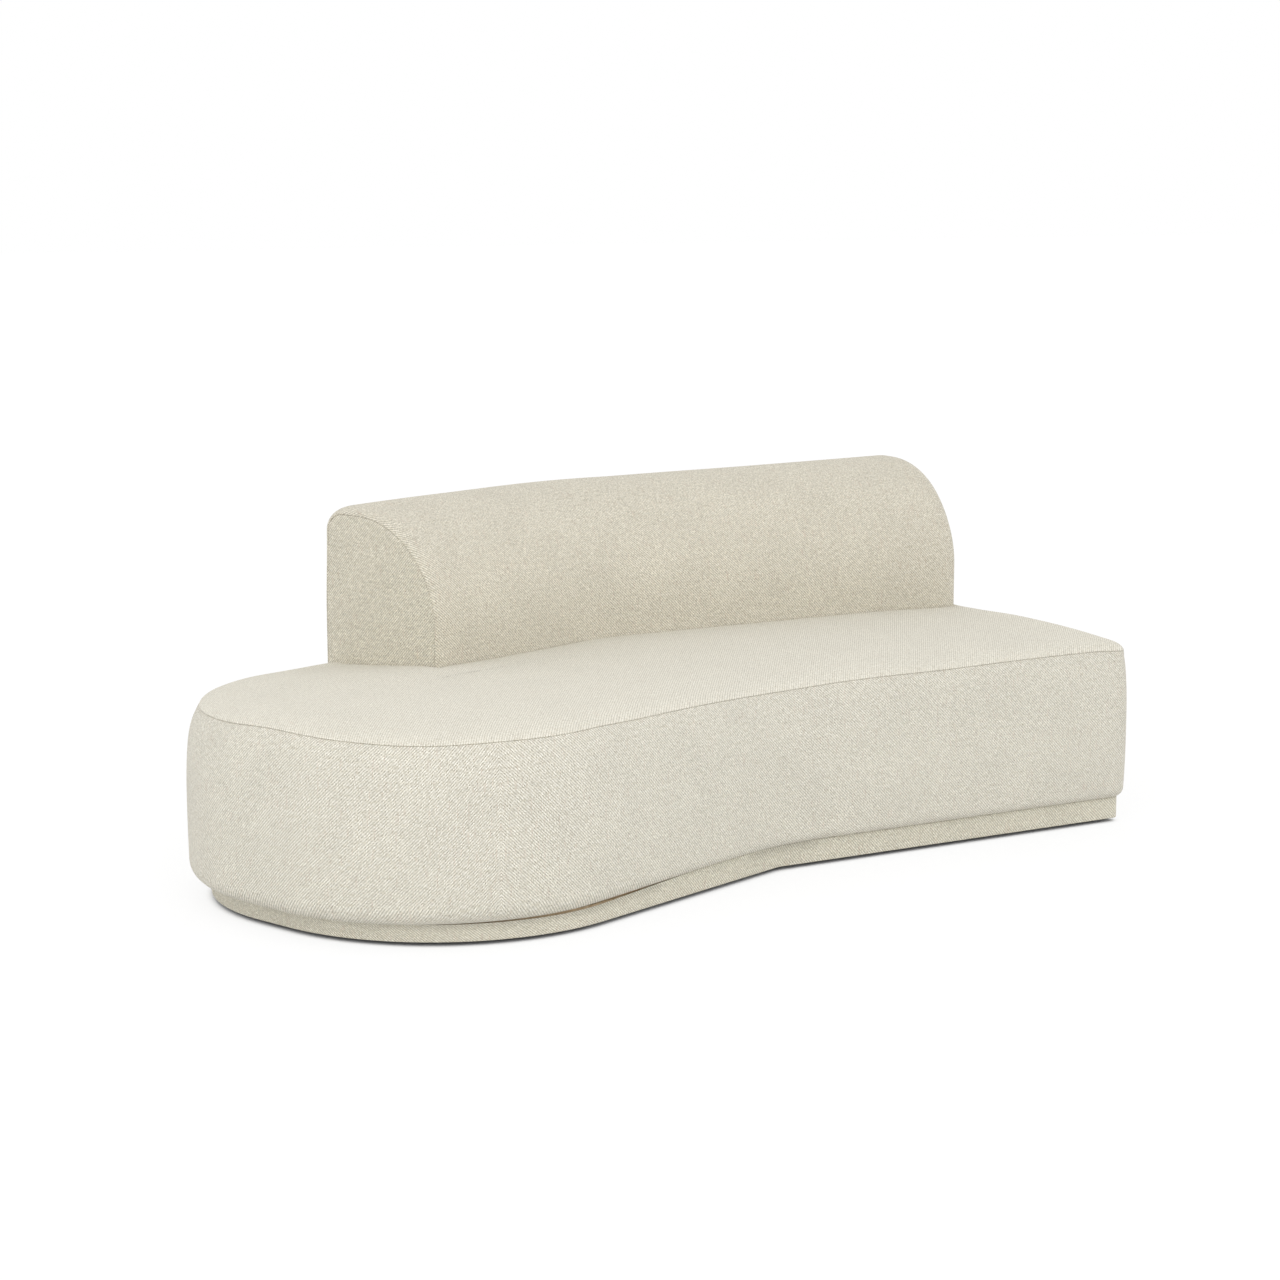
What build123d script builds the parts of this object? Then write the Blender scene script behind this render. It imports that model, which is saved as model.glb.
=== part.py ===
import os
from math import cos, radians, sin, tan

from build123d import *

os.makedirs("parts", exist_ok=True)

# Driving dimensions, in millimetres and degrees.
# Plan sizes are taken at the fullest part of the seat's sides.
straight_length = 892.0  # front edge, from the flat right end to the bend
wing_length = 997.0  # front edge, from the bend to the rounded tip
bend_angle = 19.7  # how far the wing turns towards the front
seat_depth = 914.0  # front to rear
tip_front_radius = 443.0  # round at the front of the tip
tip_flat = 86.0  # straight stretch between the tip's two rounds
end_corner_radius = 35.0  # upright corners of the flat right end
front_bend_radius = 700.0  # hollow side of the bend
rear_bend_radius = 500.0  # full side of the bend
least_radius = 4.0  # sharpest upright corner of an inner piece

ground_gap = 8.0  # air under the plinth, where the glides stand
plinth_height = 38.0
plinth_inset = 23.0  # plinth behind the fullest part of the sides
plinth_tip_inset = 45.0  # the same at the rounded tip
plinth_bend_radius = 30.0  # the plinth turns sharply at the bend
plinth_fabric = 2.0
dust_sheet = 1.0

seam_height = 385.0  # sewn seam round the top of the seat
seam_draw = 15.0  # how far the seam pulls the side in
belly_height = 200.0  # height of the fullest part of the side
foot_draw = 2.0  # how far the side draws in above its rolled foot
roll_radius = 24.0  # bottom edge of the side, rolled under
roll_flats = 6  # flats that the roll is drawn with
crown_rise = 26.0  # crown of the seat above its seam
crown_run = 170.0  # width over which the crown rises
crown_angles = (0, 12, 24, 36, 48, 60, 75, 90)  # steps up its quarter ellipse
side_padding = 30.0  # padded cover between the side's skin and the frame
seat_foam_height = 80.0

overall_height = 735.0
back_thickness = 322.0  # front to rear at the foot of the backrest
back_rear_inset = 7.0  # backrest in front of the fullest part of the rear
back_front_radius = 235.0  # big round from the backrest's front to its top
back_rear_radius = 58.0  # small round from its top to its rear
back_right_inset = 40.0  # from the flat right end to the backrest's end
back_wing_length = 405.0  # how far the backrest runs along the wing
back_cover_thickness = 16.0  # cover with its wadding
back_end_draw = 14.0  # how far the end seams pull the cover in
back_end_run = 38.0  # length over which they do so
end_panel_roll = 4.0
back_foam_thickness = 44.0
bent_board = 4.0

board = 18.0  # plywood of the frame
floor_board = 12.0
stretcher_width = 25.0
stretcher_height = 60.0
divider_count = 3
divider_pitch = 262.35  # along the straight run, from the right end
wing_divider = 180.0  # from the bend, along the wing
divider_hole_width = 220.0
divider_hole_height = 110.0
divider_hole_corner = 30.0  # cut across
tip_divider_gap = 30.0  # beyond the backrest's end
strap_width = 50.0
strap_pitch = 120.0
strap_thickness = 2.0
strap_hold = 16.0  # length of strap fixed on the frame's top edge
rib_count = 3  # on the straight run
wing_rib_inset = 60.0  # from the backrest's end on the wing
top_rail_width = 40.0
top_rail_height = 25.0
top_rail_drop = 3.0  # under the bent board, clear of its round
rib_hole_radius = 45.0
rib_hole_sides = 16
rib_hole_height = 90.0  # middle of the hole above the rib's foot

bolt_radius = 4.0
bolt_offset = 45.0  # beside a divider, where a spanner reaches
bolt_head_radius = 7.0
bolt_head_height = 5.0
bolt_hole_clearance = 0.25
washer_size = 22.0  # square plate washers
washer_thickness = 1.6

fitting_sides = 10  # small round fittings repeat, so they have flats
glide_pad_sides = 24
glide_pad_radius = 19.0
glide_pad_height = 5.0
glide_nut_radius = 7.5
glide_stud_radius = 4.0
glide_stud_length = 34.0
glide_block_size = 60.0
nut_barrel_radius = 5.0
nut_flange_radius = 11.0
nut_flange_height = 1.6
thread_clearance = 0.05
sheet_hole_radius = 9.0  # six-sided cut in the sheet

link_spacing = 480.0  # between the two link inserts under the right end
link_block_size = 50.0
link_insert_radius = 6.0
link_bore_radius = 4.0
link_insert_height = 25.0

soft_gap = 0.3  # clearance between soft or curved neighbours

# Heights that follow from the sizes above
plinth_top = ground_gap + plinth_height
rail_foot = ground_gap + dust_sheet
frame_foot = plinth_top + floor_board
frame_top = seam_height - seat_foam_height - strap_thickness - soft_gap
deck_foot = seam_height - board
glide_reach = ground_gap - soft_gap

# Plan directions: along the wing from the bend to the tip, across it from front to rear
turn = radians(bend_angle)
half_turn = turn / 2
along_wing = Vector(-cos(turn), -sin(turn))
across_wing = Vector(-sin(turn), cos(turn))
across_bend = Vector(-sin(half_turn), cos(half_turn)) / cos(half_turn)
tip_rear_radius = seat_depth - tip_front_radius - tip_flat
tip_middle = tip_front_radius + tip_flat / 2

# The origin is at the middle of the plan's box, on the floor
tip_front_centre = along_wing * (wing_length - tip_front_radius) + across_wing * tip_front_radius
tip_rear_centre = (
    along_wing * (wing_length - tip_rear_radius) + across_wing * (seat_depth - tip_rear_radius)
)
left_reach = tip_rear_centre.X - tip_rear_radius
front_reach = tip_front_centre.Y - tip_front_radius
bend_point = Vector(-(straight_length + left_reach) / 2, -(seat_depth + front_reach) / 2)
right_end = bend_point.X + straight_length
front_line = bend_point.Y
rear_line = front_line + seat_depth
middle_line = front_line + seat_depth / 2


def wing_point(along, across):
    return bend_point + along_wing * along + across_wing * across


# Outline of the sofa in plan, drawn in by an inset all round and by its own inset at the tip
def plan_face(inset, tip_inset=None, bend_radius=front_bend_radius, mode=Mode.ADD):
    tip = wing_length - (inset if tip_inset is None else tip_inset)
    rounds = [
        end_corner_radius - inset,
        end_corner_radius - inset,
        rear_bend_radius - inset,
        tip_rear_radius - inset,
        tip_front_radius - inset,
        bend_radius + inset,
    ]
    with BuildLine() as outline:
        FilletPolyline(
            Vector(right_end - inset, front_line + inset),
            Vector(right_end - inset, rear_line - inset),
            bend_point + across_bend * (seat_depth - inset),
            wing_point(tip, seat_depth - inset),
            wing_point(tip, inset),
            bend_point + across_bend * inset,
            radius=[max(radius, least_radius) for radius in rounds],
            close=True,
        )
    make_face(outline.edges(), mode=mode)


# Closed line round the plan, for a section that runs all the way round
def plan_path(inset):
    with BuildSketch() as plan:
        plan_face(inset)
    return plan.sketch.faces()[0].outer_wire()


def outline_face(points, mode=Mode.ADD):
    with BuildLine() as outline:
        Polyline(*points, close=True)
    make_face(outline.edges(), mode=mode)


# The seven lengths that a wall round the plan is made in, as regions of the plan
def wall_regions(inner_inset):
    far = seat_depth
    corner = right_end - inner_inset
    front_joint = bend_point.X + front_bend_radius * tan(half_turn)
    rear_joint = (bend_point + across_bend * seat_depth).X + rear_bend_radius * tan(half_turn)
    front_round = wing_length - tip_front_radius
    rear_round = wing_length - tip_rear_radius
    beyond = wing_length + far
    low = front_line - far
    high = rear_line + far
    return {
        "right": [(corner, low), (right_end + far, low), (right_end + far, high), (corner, high)],
        "front": [(front_joint, low), (corner, low), (corner, middle_line), (front_joint, middle_line)],
        "rear": [(rear_joint, middle_line), (corner, middle_line), (corner, high), (rear_joint, high)],
        "wing_front": [
            (front_joint, low),
            (front_joint, middle_line),
            wing_point(front_round, tip_middle),
            wing_point(front_round, -far),
        ],
        "wing_rear": [
            (rear_joint, middle_line),
            (rear_joint, high),
            wing_point(rear_round, seat_depth + far),
            wing_point(rear_round, tip_middle),
        ],
        "tip_front": [
            wing_point(front_round, -far),
            wing_point(front_round, tip_middle),
            wing_point(beyond, tip_middle),
            wing_point(beyond, -far),
        ],
        "tip_rear": [
            wing_point(rear_round, tip_middle),
            wing_point(rear_round, seat_depth + far),
            wing_point(beyond, seat_depth + far),
            wing_point(beyond, tip_middle),
        ],
    }


# Upright plane across the straight run, looking along it: X is forward from the rear line, Y is up
def straight_section(right_inset):
    return Plane(origin=(right_end - right_inset, rear_line, 0), x_dir=(0, -1, 0), z_dir=(-1, 0, 0))


def wing_section(along):
    origin = wing_point(along, seat_depth)
    return Plane(origin=origin, x_dir=-across_wing, z_dir=along_wing)


# Rear line of the sofa, which the backrest and its deck follow
def rear_path(right_inset, wing_end):
    with BuildLine() as path:
        FilletPolyline(
            Vector(right_end - right_inset, rear_line),
            bend_point + across_bend * seat_depth,
            wing_point(wing_end, seat_depth),
            radius=rear_bend_radius,
        )
    return path.wire()


# Section of the backrest: upright rear, flat top, big round down to the front
def back_profile(inset, base, mode=Mode.ADD):
    rear = back_rear_inset + inset
    front = back_rear_inset + back_thickness - inset
    top = overall_height - inset
    front_radius = back_front_radius - inset
    rear_radius = max(back_rear_radius - inset, least_radius)
    with BuildLine() as outline:
        Polyline((rear, top - rear_radius), (rear, base), (front, base), (front, top - front_radius))
        CenterArc((front - front_radius, top - front_radius), front_radius, 0, 90)
        Line((front - front_radius, top), (rear + rear_radius, top))
        CenterArc((rear + rear_radius, top - rear_radius), rear_radius, 90, 90)
    make_face(outline.edges(), mode=mode)


# A many-sided bar with its corners on the circle, and a bore with its flats on it that clears such a bar
def bar(radius, mode=Mode.ADD):
    RegularPolygon(radius, fitting_sides, mode=mode)


def bore(radius, mode=Mode.SUBTRACT):
    RegularPolygon(radius, fitting_sides, major_radius=False, mode=mode)


def strip_profile(rear, front, base, top):
    outline_face([(rear, base), (front, base), (front, top), (rear, top)])


def save(part, name):
    part.label = name
    export_step(part, f"parts/{name}.step")


# Plinth: seven rails, a fabric band round them and a sheet under them
cover_back = plinth_inset + plinth_fabric
rail_outer = cover_back + soft_gap
rail_inner = rail_outer + board
tip_shift = plinth_tip_inset - plinth_inset

for place, region in wall_regions(rail_inner).items():
    with BuildPart() as plinth_rail:
        with BuildSketch(Plane.XY.offset(rail_foot)):
            plan_face(rail_outer, rail_outer + tip_shift, plinth_bend_radius)
            plan_face(rail_inner, rail_inner + tip_shift, plinth_bend_radius, mode=Mode.SUBTRACT)
            outline_face(region, mode=Mode.INTERSECT)
        extrude(amount=plinth_top - rail_foot)
    save(plinth_rail.part, f"plinth_{place}_rail")

with BuildPart() as plinth_cover:
    with BuildSketch(Plane.XY.offset(ground_gap)):
        plan_face(plinth_inset, plinth_tip_inset, plinth_bend_radius)
        plan_face(cover_back, cover_back + tip_shift, plinth_bend_radius, mode=Mode.SUBTRACT)
    extrude(amount=plinth_height)
save(plinth_cover.part, "plinth_cover")

# Cross rails and dividers share these places along the straight run and the wing
divider_offsets = [divider_pitch * k for k in range(1, divider_count + 1)]
divider_planes = [straight_section(offset) for offset in divider_offsets] + [wing_section(wing_divider)]
tip_divider_place = back_wing_length + tip_divider_gap
tip_divider_plane = wing_section(tip_divider_place)

with BuildPart() as plinth_cross_rails:
    for plane in divider_planes + [tip_divider_plane]:
        with BuildSketch(plane):
            strip_profile(rail_inner, seat_depth - rail_inner, rail_foot, plinth_top)
        extrude(amount=board / 2, both=True)
save(plinth_cross_rails.part, "plinth_cross_rails")

# Glides stand in blocks in the plinth's corners, at the bend and round the tip
block_inset = rail_inner + glide_block_size / 2
block_beside = (board + glide_block_size) / 2
corner_block = right_end - block_inset - least_radius
bend_block = right_end - divider_offsets[-1] - block_beside
wing_block = tip_divider_place + block_beside
glide_places = {
    "right_front": Location((corner_block, front_line + block_inset)),
    "right_rear": Location((corner_block, rear_line - block_inset)),
    "bend_front": Location((bend_block, front_line + block_inset)),
    "bend_rear": Location((bend_block, rear_line - block_inset)),
}
wing_places = {
    "wing_front": wing_point(wing_block, block_inset),
    "wing_rear": wing_point(wing_block, seat_depth - block_inset),
    "tip": wing_point(wing_length - block_inset - tip_shift, tip_middle),
}
for place, point in wing_places.items():
    glide_places[place] = Location((point.X, point.Y), bend_angle)
glide_points = [place.position for place in glide_places.values()]

link_places = [
    Location((right_end - rail_inner - link_block_size / 2, middle_line + side * link_spacing / 2))
    for side in (-1, 1)
]
link_points = [place.position for place in link_places]

with BuildPart() as dust_cover:
    with BuildSketch(Plane.XY.offset(ground_gap)):
        plan_face(rail_outer, rail_outer + tip_shift, plinth_bend_radius)
        with Locations(*glide_points, *link_points):
            RegularPolygon(sheet_hole_radius, 6, mode=Mode.SUBTRACT)
    extrude(amount=dust_sheet)
save(dust_cover.part, "dust_cover")

with BuildPart() as glide_blocks:
    with BuildSketch(Plane.XY.offset(rail_foot)):
        with Locations(*glide_places.values()):
            Rectangle(glide_block_size, glide_block_size)
        with Locations(*glide_points):
            bore(nut_barrel_radius + thread_clearance)
    extrude(amount=plinth_top - rail_foot)
    with BuildSketch(Plane.XY.offset(plinth_top)):
        with Locations(*glide_points):
            RegularPolygon(nut_flange_radius + soft_gap, 6)
    extrude(amount=-nut_flange_height, mode=Mode.SUBTRACT)
save(glide_blocks.part, "glide_blocks")

with BuildPart() as tee_nuts:
    with BuildSketch(Plane.XY.offset(rail_foot)):
        with Locations(*glide_points):
            bar(nut_barrel_radius)
    extrude(amount=plinth_top - rail_foot)
    with BuildSketch(Plane.XY.offset(plinth_top)):
        with Locations(*glide_points):
            RegularPolygon(nut_flange_radius, 6)
    extrude(amount=-nut_flange_height)
    with BuildSketch(Plane.XY.offset(rail_foot)):
        with Locations(*glide_points):
            bore(glide_stud_radius + thread_clearance, mode=Mode.ADD)
    extrude(amount=plinth_top - rail_foot, mode=Mode.SUBTRACT)
save(tee_nuts.part, "tee_nuts")

# Each levelling glide is a moulded pad with a hexagon-headed stud that turns in its tee nut
for place, location in glide_places.items():
    point = location.position
    with BuildPart() as glide_pad:
        with BuildSketch():
            with Locations(point):
                RegularPolygon(glide_pad_radius, glide_pad_sides)
        extrude(amount=glide_pad_height)
    save(glide_pad.part, f"glide_pad_{place}")

    with BuildPart() as glide_stud:
        with BuildSketch(Plane.XY.offset(glide_pad_height)):
            with Locations(point):
                RegularPolygon(glide_nut_radius, 6)
        extrude(amount=glide_reach - glide_pad_height)
        with BuildSketch(Plane.XY.offset(glide_pad_height)):
            with Locations(point):
                bar(glide_stud_radius)
        extrude(amount=glide_stud_length)
    save(glide_stud.part, f"glide_stud_{place}")

# Threaded inserts under the flat right end take the plate that links the next module
with BuildPart() as link_blocks:
    with BuildSketch(Plane.XY.offset(rail_foot)):
        with Locations(*link_places):
            Rectangle(link_block_size, link_block_size)
    extrude(amount=plinth_top - rail_foot)
    with BuildSketch(Plane.XY.offset(rail_foot)):
        with Locations(*link_places):
            bore(link_insert_radius + thread_clearance, mode=Mode.ADD)
    extrude(amount=link_insert_height, mode=Mode.SUBTRACT)
save(link_blocks.part, "link_blocks")

with BuildPart() as link_inserts:
    with BuildSketch(Plane.XY.offset(rail_foot)):
        with Locations(*link_places):
            bar(link_insert_radius)
            Circle(link_bore_radius, mode=Mode.SUBTRACT)
    extrude(amount=link_insert_height)
save(link_inserts.part, "link_inserts")

# Seat frame: floor board, seven walls and dividers with a raised rear that carries the back's deck
wall_outer = side_padding + soft_gap
wall_inner = wall_outer + board
deck_front = back_rear_inset + back_thickness
stretcher_front = deck_front + stretcher_width
stretcher_foot = frame_top - stretcher_height


# Two openings in each divider, behind and in front of the stretcher, that save weight
def divider_holes():
    height = (frame_foot + stretcher_foot) / 2
    behind = (wall_inner + deck_front) / 2
    ahead = (stretcher_front + seat_depth - wall_inner) / 2
    low, high = height - divider_hole_height / 2, height + divider_hole_height / 2
    for middle in (behind, ahead):
        near, far = middle - divider_hole_width / 2, middle + divider_hole_width / 2
        outline_face(
            [
                (near + divider_hole_corner, low),
                (far - divider_hole_corner, low),
                (far, low + divider_hole_corner),
                (far, high - divider_hole_corner),
                (far - divider_hole_corner, high),
                (near + divider_hole_corner, high),
                (near, high - divider_hole_corner),
                (near, low + divider_hole_corner),
            ],
            mode=Mode.SUBTRACT,
        )


with BuildPart() as seat_floor_board:
    with BuildSketch(Plane.XY.offset(plinth_top)):
        plan_face(wall_outer)
    extrude(amount=floor_board)
save(seat_floor_board.part, "seat_floor_board")

for place, region in wall_regions(wall_inner).items():
    with BuildPart() as seat_wall:
        with BuildSketch(Plane.XY.offset(frame_foot)):
            plan_face(wall_outer)
            plan_face(wall_inner, mode=Mode.SUBTRACT)
            outline_face(region, mode=Mode.INTERSECT)
        extrude(amount=frame_top - frame_foot)
    save(seat_wall.part, f"seat_{place}_wall")

with BuildPart() as seat_dividers:
    for plane in divider_planes:
        with BuildSketch(plane):
            outline_face(
                [
                    (wall_inner, frame_foot),
                    (seat_depth - wall_inner, frame_foot),
                    (seat_depth - wall_inner, frame_top),
                    (stretcher_front, frame_top),
                    (stretcher_front, stretcher_foot),
                    (deck_front, stretcher_foot),
                    (deck_front, deck_foot),
                    (wall_inner, deck_foot),
                ]
            )
            divider_holes()
        extrude(amount=board / 2, both=True)
save(seat_dividers.part, "seat_dividers")

with BuildPart() as seat_tip_divider:
    with BuildSketch(tip_divider_plane):
        strip_profile(wall_inner, seat_depth - wall_inner, frame_foot, frame_top)
        divider_holes()
    extrude(amount=board / 2, both=True)
save(seat_tip_divider.part, "seat_tip_divider")

with BuildPart() as seat_stretcher:
    with BuildSketch(straight_section(wall_inner)):
        strip_profile(deck_front, stretcher_front, stretcher_foot, frame_top)
    sweep(path=rear_path(wall_inner, tip_divider_place - board / 2))
save(seat_stretcher.part, "seat_stretcher")

# One bolt beside each divider, under the middle of the backrest
bolt_depth = seat_depth - back_rear_inset - back_thickness / 2
bolt_points = [
    Vector(right_end - offset + bolt_offset, front_line + bolt_depth) for offset in divider_offsets
]
bolt_points.append(wing_point(wing_divider + bolt_offset, bolt_depth))
deck_right = wall_outer + least_radius

with BuildPart() as back_deck:
    with BuildSketch(straight_section(deck_right)):
        strip_profile(wall_outer, deck_front, deck_foot, seam_height)
    sweep(path=rear_path(deck_right, back_wing_length))
    with BuildSketch(Plane.XY.offset(seam_height)):
        with Locations(*bolt_points):
            bore(bolt_radius + bolt_hole_clearance, mode=Mode.ADD)
    extrude(amount=-board, mode=Mode.SUBTRACT)
save(back_deck.part, "back_deck")

# Elastic straps from the front wall to the stretcher, and right across the tip
strap_front = wall_inner - strap_hold
strap_rear = seat_depth - stretcher_front + strap_hold
strap_margin = (strap_pitch - strap_width) / 2
tip_strap_start = tip_divider_place + board / 2
straight_straps = int((straight_length - wall_inner) / strap_pitch)
wing_straps = int((tip_divider_place - board / 2) / strap_pitch)
tip_straps = int((wing_length - wall_inner - tip_strap_start) / strap_pitch)

with BuildPart() as seat_webbing:
    with BuildSketch(Plane.XY.offset(frame_top)):
        for k in range(straight_straps):
            near = right_end - wall_inner - strap_pitch * k - strap_margin
            far = near - strap_width
            front = front_line + strap_front
            rear = front_line + strap_rear
            outline_face([(near, front), (near, rear), (far, rear), (far, front)])
        starts = [(strap_pitch * k + strap_margin, strap_rear) for k in range(wing_straps)]
        tip_margin = tip_strap_start + strap_margin
        starts += [(tip_margin + strap_pitch * k, seat_depth) for k in range(tip_straps)]
        for near, rear in starts:
            far = near + strap_width
            outline_face(
                [wing_point(near, 0), wing_point(near, rear), wing_point(far, rear), wing_point(far, 0)]
            )
        plan_face(strap_front, mode=Mode.INTERSECT)
    extrude(amount=strap_thickness)
save(seat_webbing.part, "seat_webbing")

# Seat foam fills the cover above the straps, in front of the deck and over the tip
with BuildPart() as seat_foam:
    with BuildSketch(Plane.XY.offset(seam_height)):
        plan_face(wall_outer)
    extrude(amount=-seat_foam_height)
    with BuildSketch(straight_section(0)):
        strip_profile(0, deck_front + soft_gap, frame_top, seam_height)
    sweep(path=rear_path(0, back_wing_length + soft_gap), mode=Mode.SUBTRACT)
save(seat_foam.part, "seat_foam")

# Padded side cover: rolled under at the foot, fullest at mid height, drawn in at the seam
side_foot = plinth_top + soft_gap
roll_top = side_foot + roll_radius
roll_angles = [radians(90 * k / roll_flats) for k in range(roll_flats + 1)]
side_section = Plane(origin=(right_end, middle_line, 0), x_dir=(-1, 0, 0), z_dir=(0, 1, 0))

with BuildPart() as seat_side_cover:
    with BuildSketch(side_section):
        with BuildLine() as side_outline:
            roll = [
                (foot_draw + roll_radius * (1 - sin(angle)), roll_top - roll_radius * cos(angle))
                for angle in roll_angles
            ]
            seam_edge = (seam_draw, seam_height)
            Polyline(*roll)
            ThreePointArc(roll[-1], (0, belly_height), seam_edge)
            Polyline(seam_edge, (side_padding, seam_height), (side_padding, side_foot), roll[0])
        make_face()
    sweep(path=plan_path(0))
save(seat_side_cover.part, "seat_side_cover")

# Crowned top: a quarter ellipse from the seam up to the flat of the seat, notched for the backrest
with BuildPart() as seat_top_cover:
    for angle in crown_angles:
        rise = crown_rise * sin(radians(angle))
        run = crown_run * (1 - cos(radians(angle)))
        with BuildSketch(Plane.XY.offset(seam_height + rise)):
            plan_face(seam_draw + run)
    loft(ruled=True)
    with BuildSketch(straight_section(back_right_inset - soft_gap)):
        strip_profile(0, deck_front + soft_gap, seam_height, overall_height)
    sweep(path=rear_path(back_right_inset - soft_gap, back_wing_length + soft_gap), mode=Mode.SUBTRACT)
save(seat_top_cover.part, "seat_top_cover")

# Backrest: main cover round the foam, with an end panel sewn in at each end
cover_inner = back_cover_thickness
panel_inset = cover_inner + soft_gap
right_plane = straight_section(back_right_inset)
left_plane = wing_section(back_wing_length)
wing_axis = Axis(left_plane.origin, along_wing)

with BuildPart() as back_main_cover:
    with BuildSketch(right_plane):
        back_profile(0, seam_height - 2 * back_end_draw)
    sweep(path=rear_path(back_right_inset, back_wing_length))
    for axis in (Axis.X, wing_axis):
        end_face = faces().sort_by(axis)[-1]
        chamfer(end_face.edges(), back_end_draw, back_end_run, reference=end_face)
    split(bisect_by=Plane.XY.offset(seam_height), keep=Keep.TOP)
    with BuildSketch(right_plane):
        back_profile(cover_inner, seam_height)
    sweep(path=rear_path(back_right_inset, back_wing_length), mode=Mode.SUBTRACT)
save(back_main_cover.part, "back_main_cover")

with BuildPart() as back_right_panel:
    with BuildSketch(right_plane):
        back_profile(panel_inset, seam_height)
    extrude(amount=back_cover_thickness)
    chamfer(faces().sort_by(Axis.X)[-1].edges(), end_panel_roll)
save(back_right_panel.part, "back_right_panel")

with BuildPart() as back_left_panel:
    with BuildSketch(left_plane):
        back_profile(panel_inset, seam_height)
    extrude(amount=-back_cover_thickness)
    chamfer(faces().sort_by(wing_axis)[-1].edges(), end_panel_roll)
save(back_left_panel.part, "back_left_panel")

# Layers inside the backrest, from the cover inwards
foam_right = back_right_inset + back_cover_thickness + soft_gap
foam_wing = back_wing_length - back_cover_thickness - soft_gap
foam_inner = panel_inset + back_foam_thickness
board_outer = foam_inner + soft_gap
board_inner = board_outer + bent_board
rib_outer = board_inner + soft_gap
rib_foot = seam_height + board
rail_top = overall_height - rib_outer - top_rail_drop
rail_rear = back_rear_inset + rib_outer + least_radius
rail_front = rail_rear + top_rail_width

with BuildPart() as back_foam:
    with BuildSketch(straight_section(foam_right)):
        back_profile(panel_inset, seam_height)
        back_profile(foam_inner, seam_height, mode=Mode.SUBTRACT)
    sweep(path=rear_path(foam_right, foam_wing))
save(back_foam.part, "back_foam")

with BuildPart() as back_bent_board:
    with BuildSketch(straight_section(foam_right)):
        back_profile(board_outer, seam_height)
        back_profile(board_inner, seam_height, mode=Mode.SUBTRACT)
    sweep(path=rear_path(foam_right, foam_wing))
save(back_bent_board.part, "back_bent_board")

with BuildPart() as back_base_board:
    with BuildSketch(straight_section(foam_right)):
        strip_profile(back_rear_inset + rib_outer, deck_front - rib_outer, seam_height, rib_foot)
    sweep(path=rear_path(foam_right, foam_wing))
    with BuildSketch(Plane.XY.offset(seam_height)):
        with Locations(*bolt_points):
            bore(bolt_radius + bolt_hole_clearance, mode=Mode.ADD)
    extrude(amount=board, mode=Mode.SUBTRACT)
save(back_base_board.part, "back_base_board")

with BuildPart() as back_top_rail:
    with BuildSketch(straight_section(foam_right)):
        strip_profile(rail_rear, rail_front, rail_top - top_rail_height, rail_top)
    sweep(path=rear_path(foam_right, foam_wing))
save(back_top_rail.part, "back_top_rail")

rib_run = straight_length - foam_right
first_rib = foam_right + board / 2
rib_planes = [straight_section(first_rib + rib_run * k / rib_count) for k in range(rib_count)]
rib_planes.append(wing_section(back_wing_length - wing_rib_inset))
with BuildPart() as back_ribs:
    for plane in rib_planes:
        with BuildSketch(plane):
            back_profile(rib_outer, rib_foot)
            outline_face(
                [
                    (rail_rear - soft_gap, rail_top - top_rail_height),
                    (rail_front + soft_gap, rail_top - top_rail_height),
                    (rail_front + soft_gap, rail_top + board),
                    (rail_rear - soft_gap, rail_top + board),
                ],
                mode=Mode.SUBTRACT,
            )
            with Locations((back_rear_inset + back_thickness / 2, rib_foot + rib_hole_height)):
                RegularPolygon(rib_hole_radius, rib_hole_sides, mode=Mode.SUBTRACT)
        extrude(amount=board / 2, both=True)
save(back_ribs.part, "back_ribs")

# Bolts from under the deck hold the backrest's base board down
with BuildPart() as back_washers:
    with BuildSketch(Plane.XY.offset(deck_foot)):
        with Locations(*bolt_points):
            Rectangle(washer_size, washer_size)
            bore(bolt_radius + bolt_hole_clearance)
    extrude(amount=-washer_thickness)
save(back_washers.part, "back_washers")

with BuildPart() as back_bolts:
    with BuildSketch(Plane.XY.offset(deck_foot - washer_thickness)):
        with Locations(*bolt_points):
            bar(bolt_radius)
    extrude(amount=washer_thickness + 2 * board)
    with BuildSketch(Plane.XY.offset(deck_foot - washer_thickness)):
        with Locations(*bolt_points):
            RegularPolygon(bolt_head_radius, 6)
    extrude(amount=-bolt_head_height)
save(back_bolts.part, "back_bolts")
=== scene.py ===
import math
import bpy
import bmesh
import numpy as np
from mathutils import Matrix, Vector, noise


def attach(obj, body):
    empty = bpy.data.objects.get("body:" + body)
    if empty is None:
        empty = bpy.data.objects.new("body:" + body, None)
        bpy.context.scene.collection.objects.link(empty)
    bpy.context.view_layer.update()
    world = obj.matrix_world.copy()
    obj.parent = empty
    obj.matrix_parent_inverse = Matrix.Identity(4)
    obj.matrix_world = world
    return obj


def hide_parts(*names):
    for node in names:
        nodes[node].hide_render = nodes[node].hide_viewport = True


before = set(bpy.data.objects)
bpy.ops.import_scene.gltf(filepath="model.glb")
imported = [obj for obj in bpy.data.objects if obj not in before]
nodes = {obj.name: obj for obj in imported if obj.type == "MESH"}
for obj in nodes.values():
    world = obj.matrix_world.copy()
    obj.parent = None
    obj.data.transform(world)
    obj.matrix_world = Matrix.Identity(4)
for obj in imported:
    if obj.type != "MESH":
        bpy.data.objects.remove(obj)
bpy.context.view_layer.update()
print("frame loaded with", len(nodes), "nodes")


def mathOn(operation, reflected=False):
    def act(self, other):
        return self.calc(operation, other, self) if reflected else self.calc(operation, self, other)

    return act


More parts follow.
